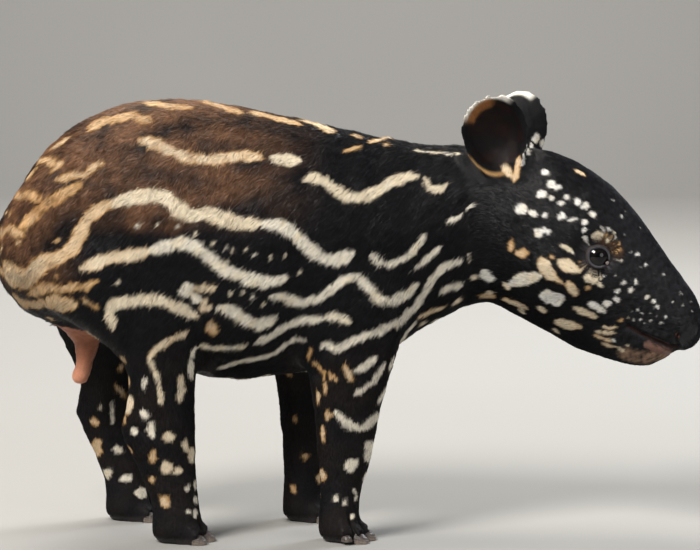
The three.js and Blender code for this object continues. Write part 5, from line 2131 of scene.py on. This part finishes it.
@dataclass(frozen=True)
class SkinFinish:
    """The skin: the coat's colours between the hairs, and fine cells and a moist shine where bare."""

    under: float = 0.66
    bare: float = 0.40
    shine: float = 0.18

    def make(self, effects: Effects) -> Material:
        """Builds the material."""
        material, make, shader = new_material("calf_skin", {"Specular IOR Level": self.shine})
        tone = make.add("ShaderNodeAttribute", attribute_name=TONE)
        bare = make.add("ShaderNodeAttribute", attribute_name=BARE)
        effects.wander(make, tone, shader, coarse=130.0, fine=1100.0, amount=0.6)
        make.between(bare, "Fac", self.under, self.bare, shader, "Roughness")
        effects.rise(make, shader, cells=1500.0, grain=2600.0, depth=0.00018, strength=0.6)
        return material


@dataclass(frozen=True)
class HornFinish:
    """The hooves: grey-brown horn, paler at the worn edge, with streaks that run down."""

    upper: Colour = (0.050, 0.040, 0.036)
    worn: Colour = (0.20, 0.16, 0.13)
    roughness: float = 0.42

    def make(self, effects: Effects) -> Material:
        """Builds the material."""
        material, make, shader = new_material("hoof_horn", {"Roughness": self.roughness})
        split = make.placed("ShaderNodeSeparateXYZ")
        level = make.add("ShaderNodeMapRange", {"From Max": 0.009})
        make.join(split, "Z", level, "Value")
        stretch = make.placed("ShaderNodeMapping", {"Scale": (1.0, 1.0, 0.12)})
        streaks = make.add("ShaderNodeTexNoise", {"Scale": 900.0})
        make.join(stretch, "Vector", streaks, "Vector")
        ease = make.add("ShaderNodeMath", {1: 0.7}, operation="MULTIPLY_ADD")
        make.join(streaks, "Fac", ease, 0)
        make.join(level, "Result", ease, 2)
        horn = make.colours(ease, self.worn, self.upper, start=0.25, end=1.0)
        effects.wander(make, horn, shader, coarse=160.0, fine=700.0, amount=0.5)
        effects.rise(make, shader, cells=300.0, grain=1300.0, depth=0.00012, strength=0.5)
        return material


@dataclass(frozen=True)
class EyeFinish:
    """The eyeball: a dark iris under a clear wet coat."""

    roughness: float = 0.12
    coat_ior: float = 1.38

    def make(self, effects: Effects) -> Material:
        """Builds the material."""
        material, make, shader = new_material("wet_eye", {
            "Roughness": self.roughness,
            "Specular IOR Level": 0.0,
            "Coat Weight": 1.0,
            "Coat Roughness": 0.03,
            "Coat IOR": self.coat_ior,
        })
        tone = make.add("ShaderNodeAttribute", attribute_name=TONE)
        effects.wander(make, tone, shader, coarse=300.0, fine=1500.0, amount=0.5)
        return material


@dataclass(frozen=True)
class CornerFinish:
    """The eye's corner: pale pink, wet skin."""

    pale: Colour = (0.52, 0.48, 0.45)
    deep: Colour = (0.20, 0.10, 0.08)

    def make(self, effects: Effects) -> Material:
        """Builds the material."""
        material, make, shader = new_material("eye_corner", {
            "Roughness": 0.15,
            "Coat Weight": 0.6,
            "Coat Roughness": 0.05,
        })
        noise = make.placed("ShaderNodeTexNoise", {"Scale": 700.0})
        pink = make.colours(noise, self.deep, self.pale, start=0.35, end=0.62)
        make.join(pink, "Color", shader, "Base Color")
        effects.rise(make, shader, cells=1500.0, grain=3000.0, depth=0.00005, strength=1.0)
        return material


# Studio


@dataclass
class Studio:
    """A pale floor that curves up behind, and large soft lights."""

    half_width: float = 9.0
    front: float = -6.0
    back: float = 4.8
    bend: float = 1.6
    top: float = 5.0
    steps: int = 12
    floor_colour: Colour = (0.33, 0.325, 0.315)
    calf: Place = (0.0, 0.0, 0.24)
    far_floor: Place = (0.0, 5.6, 0.0)
    air_colour: Colour = (0.80, 0.86, 0.95)
    air_strength: float = 0.12

    def make(self) -> None:
        """Builds the floor, the lights and the light from around."""
        self.make_floor()
        self.light("key", (-1.5, -1.9, 2.5), self.calf, 1.2, 158.0, (1.0, 0.96, 0.90))
        self.light("top", (-0.6, 0.6, 2.5), self.calf, 1.3, 50.0, (1.0, 0.95, 0.86))
        self.light("rim", (1.7, 1.6, 1.8), self.calf, 1.1, 50.0, (0.93, 0.97, 1.0))
        self.light("fill", (2.2, -2.4, 1.1), self.calf, 2.0, 30.0, (1.0, 0.97, 0.93))
        self.light("floor", (0.0, 2.4, 3.0), self.far_floor, 2.0, 160.0, (1.0, 0.97, 0.93))
        world = bpy.data.worlds.new("studio_air")
        world.use_nodes = True
        air = world.node_tree.nodes["Background"].inputs
        air["Color"].default_value = (*self.air_colour, 1.0)
        air["Strength"].default_value = self.air_strength
        bpy.context.scene.world = world
        bpy.context.scene.view_settings.view_transform = "Standard"

    def make_floor(self) -> None:
        """A floor with its far edge extruded up a quarter circle and a wall."""
        deselect_all()
        middle = (self.front + self.back) / 2
        bpy.ops.mesh.primitive_plane_add(size=2.0, location=(0.0, middle, 0.0))
        floor = name_new("studio_floor")
        floor.scale = (self.half_width, (self.back - self.front) / 2, 1.0)
        bpy.ops.object.transform_apply()
        for vertex in floor.data.vertices:
            vertex.select = vertex.co.y > middle
        for edge in floor.data.edges:
            edge.select = all(floor.data.vertices[v].co.y > middle for v in edge.vertices)
        for face in floor.data.polygons:
            face.select = False
        turn = pi / 2 / self.steps
        moves = [(0.0, self.bend * (sin((k + 1) * turn) - sin(k * turn)),
                  self.bend * (cos(k * turn) - cos((k + 1) * turn))) for k in range(self.steps)]
        with editing(floor, "EDGE", ""):
            for move in moves + [(0.0, 0.0, self.top - self.bend)]:
                bpy.ops.mesh.extrude_region_move(TRANSFORM_OT_translate={"value": move})
        bpy.ops.object.shade_smooth()
        material, make, shader = new_material("studio_paper", {"Roughness": 0.8})
        noise = make.placed("ShaderNodeTexNoise", {"Scale": 1.2})
        low, high = (tuple(c * share for c in self.floor_colour) for share in (0.95, 1.03))
        make.join(make.colours(noise, low, high, 0.0, 1.0), "Color", shader, "Base Color")
        floor.data.materials.append(material)

    @staticmethod
    def light(name: str, place: Place, aim: Place, size: float, power: float, colour: Colour) -> None:
        """Adds a round soft light.

        Args:
            name: what it is for.
            place: where it stands.
            aim: what it faces.
            size: how wide it is, in metres.
            power: in watts.
            colour: its light.
        """
        bpy.ops.object.light_add(type="AREA", location=place)
        lamp = name_new(f"light_{name}")
        lamp.rotation_euler = (Vector(aim) - Vector(place)).to_track_quat("-Z", "Y").to_euler()
        lamp.data.shape = "DISK"
        lamp.data.size = size
        lamp.data.energy = power
        lamp.data.color = colour


def dress_skin(skin: Skin, hide: Hide, material: Material) -> None:
    """Stores the skin's colours and how bare it is, and gives it its material."""
    points = skin.surface.points
    normals = skin.surface.normals()
    paint(skin.piece.data, hide.skin_tones(points, normals))
    bare = skin.piece.data.attributes.new(BARE, "FLOAT", "POINT")
    store(bare.data, "value", hide.bareness(points, normals))
    dress(skin.piece, material, skin.nodes)


def main() -> None:
    """Builds the calf and its studio in order."""
    logging.basicConfig(level=logging.INFO, format="%(message)s")
    deselect_all()
    camera = PhotoCamera()
    camera.make()
    Studio().make()
    axis = BodyAxis()
    stance = LegStance()
    ears = EarFrame(axis)
    eyes = [eye_place(side, axis) for side in Side]
    skin = Skin(camera, axis, stance, ears, eyes)
    skin.make()
    LOG.info("skin: %d points", len(skin.surface.points))
    projector = Projector(camera, skin.surface.tree())
    markings = Markings(projector, axis, stance)
    markings.add_all()
    hide = Hide(axis, stance, ears, eyes, markings, projector)
    effects = Effects()
    dress_skin(skin, hide, SkinFinish().make(effects))
    Coat(skin, hide).make(CoatFinish().make(effects))
    eye_finish = EyeFinish().make(effects)
    corner_finish = CornerFinish().make(effects)
    for place in eyes:
        EyeBuilder(place).make(eye_finish, corner_finish)
    horn = HornFinish().make(effects)
    for node in frame["nodes"]:
        if "hoof" in node:
            HoofBuilder().make(node, horn)
    deselect_all()


if __name__ == "__main__":
    main()
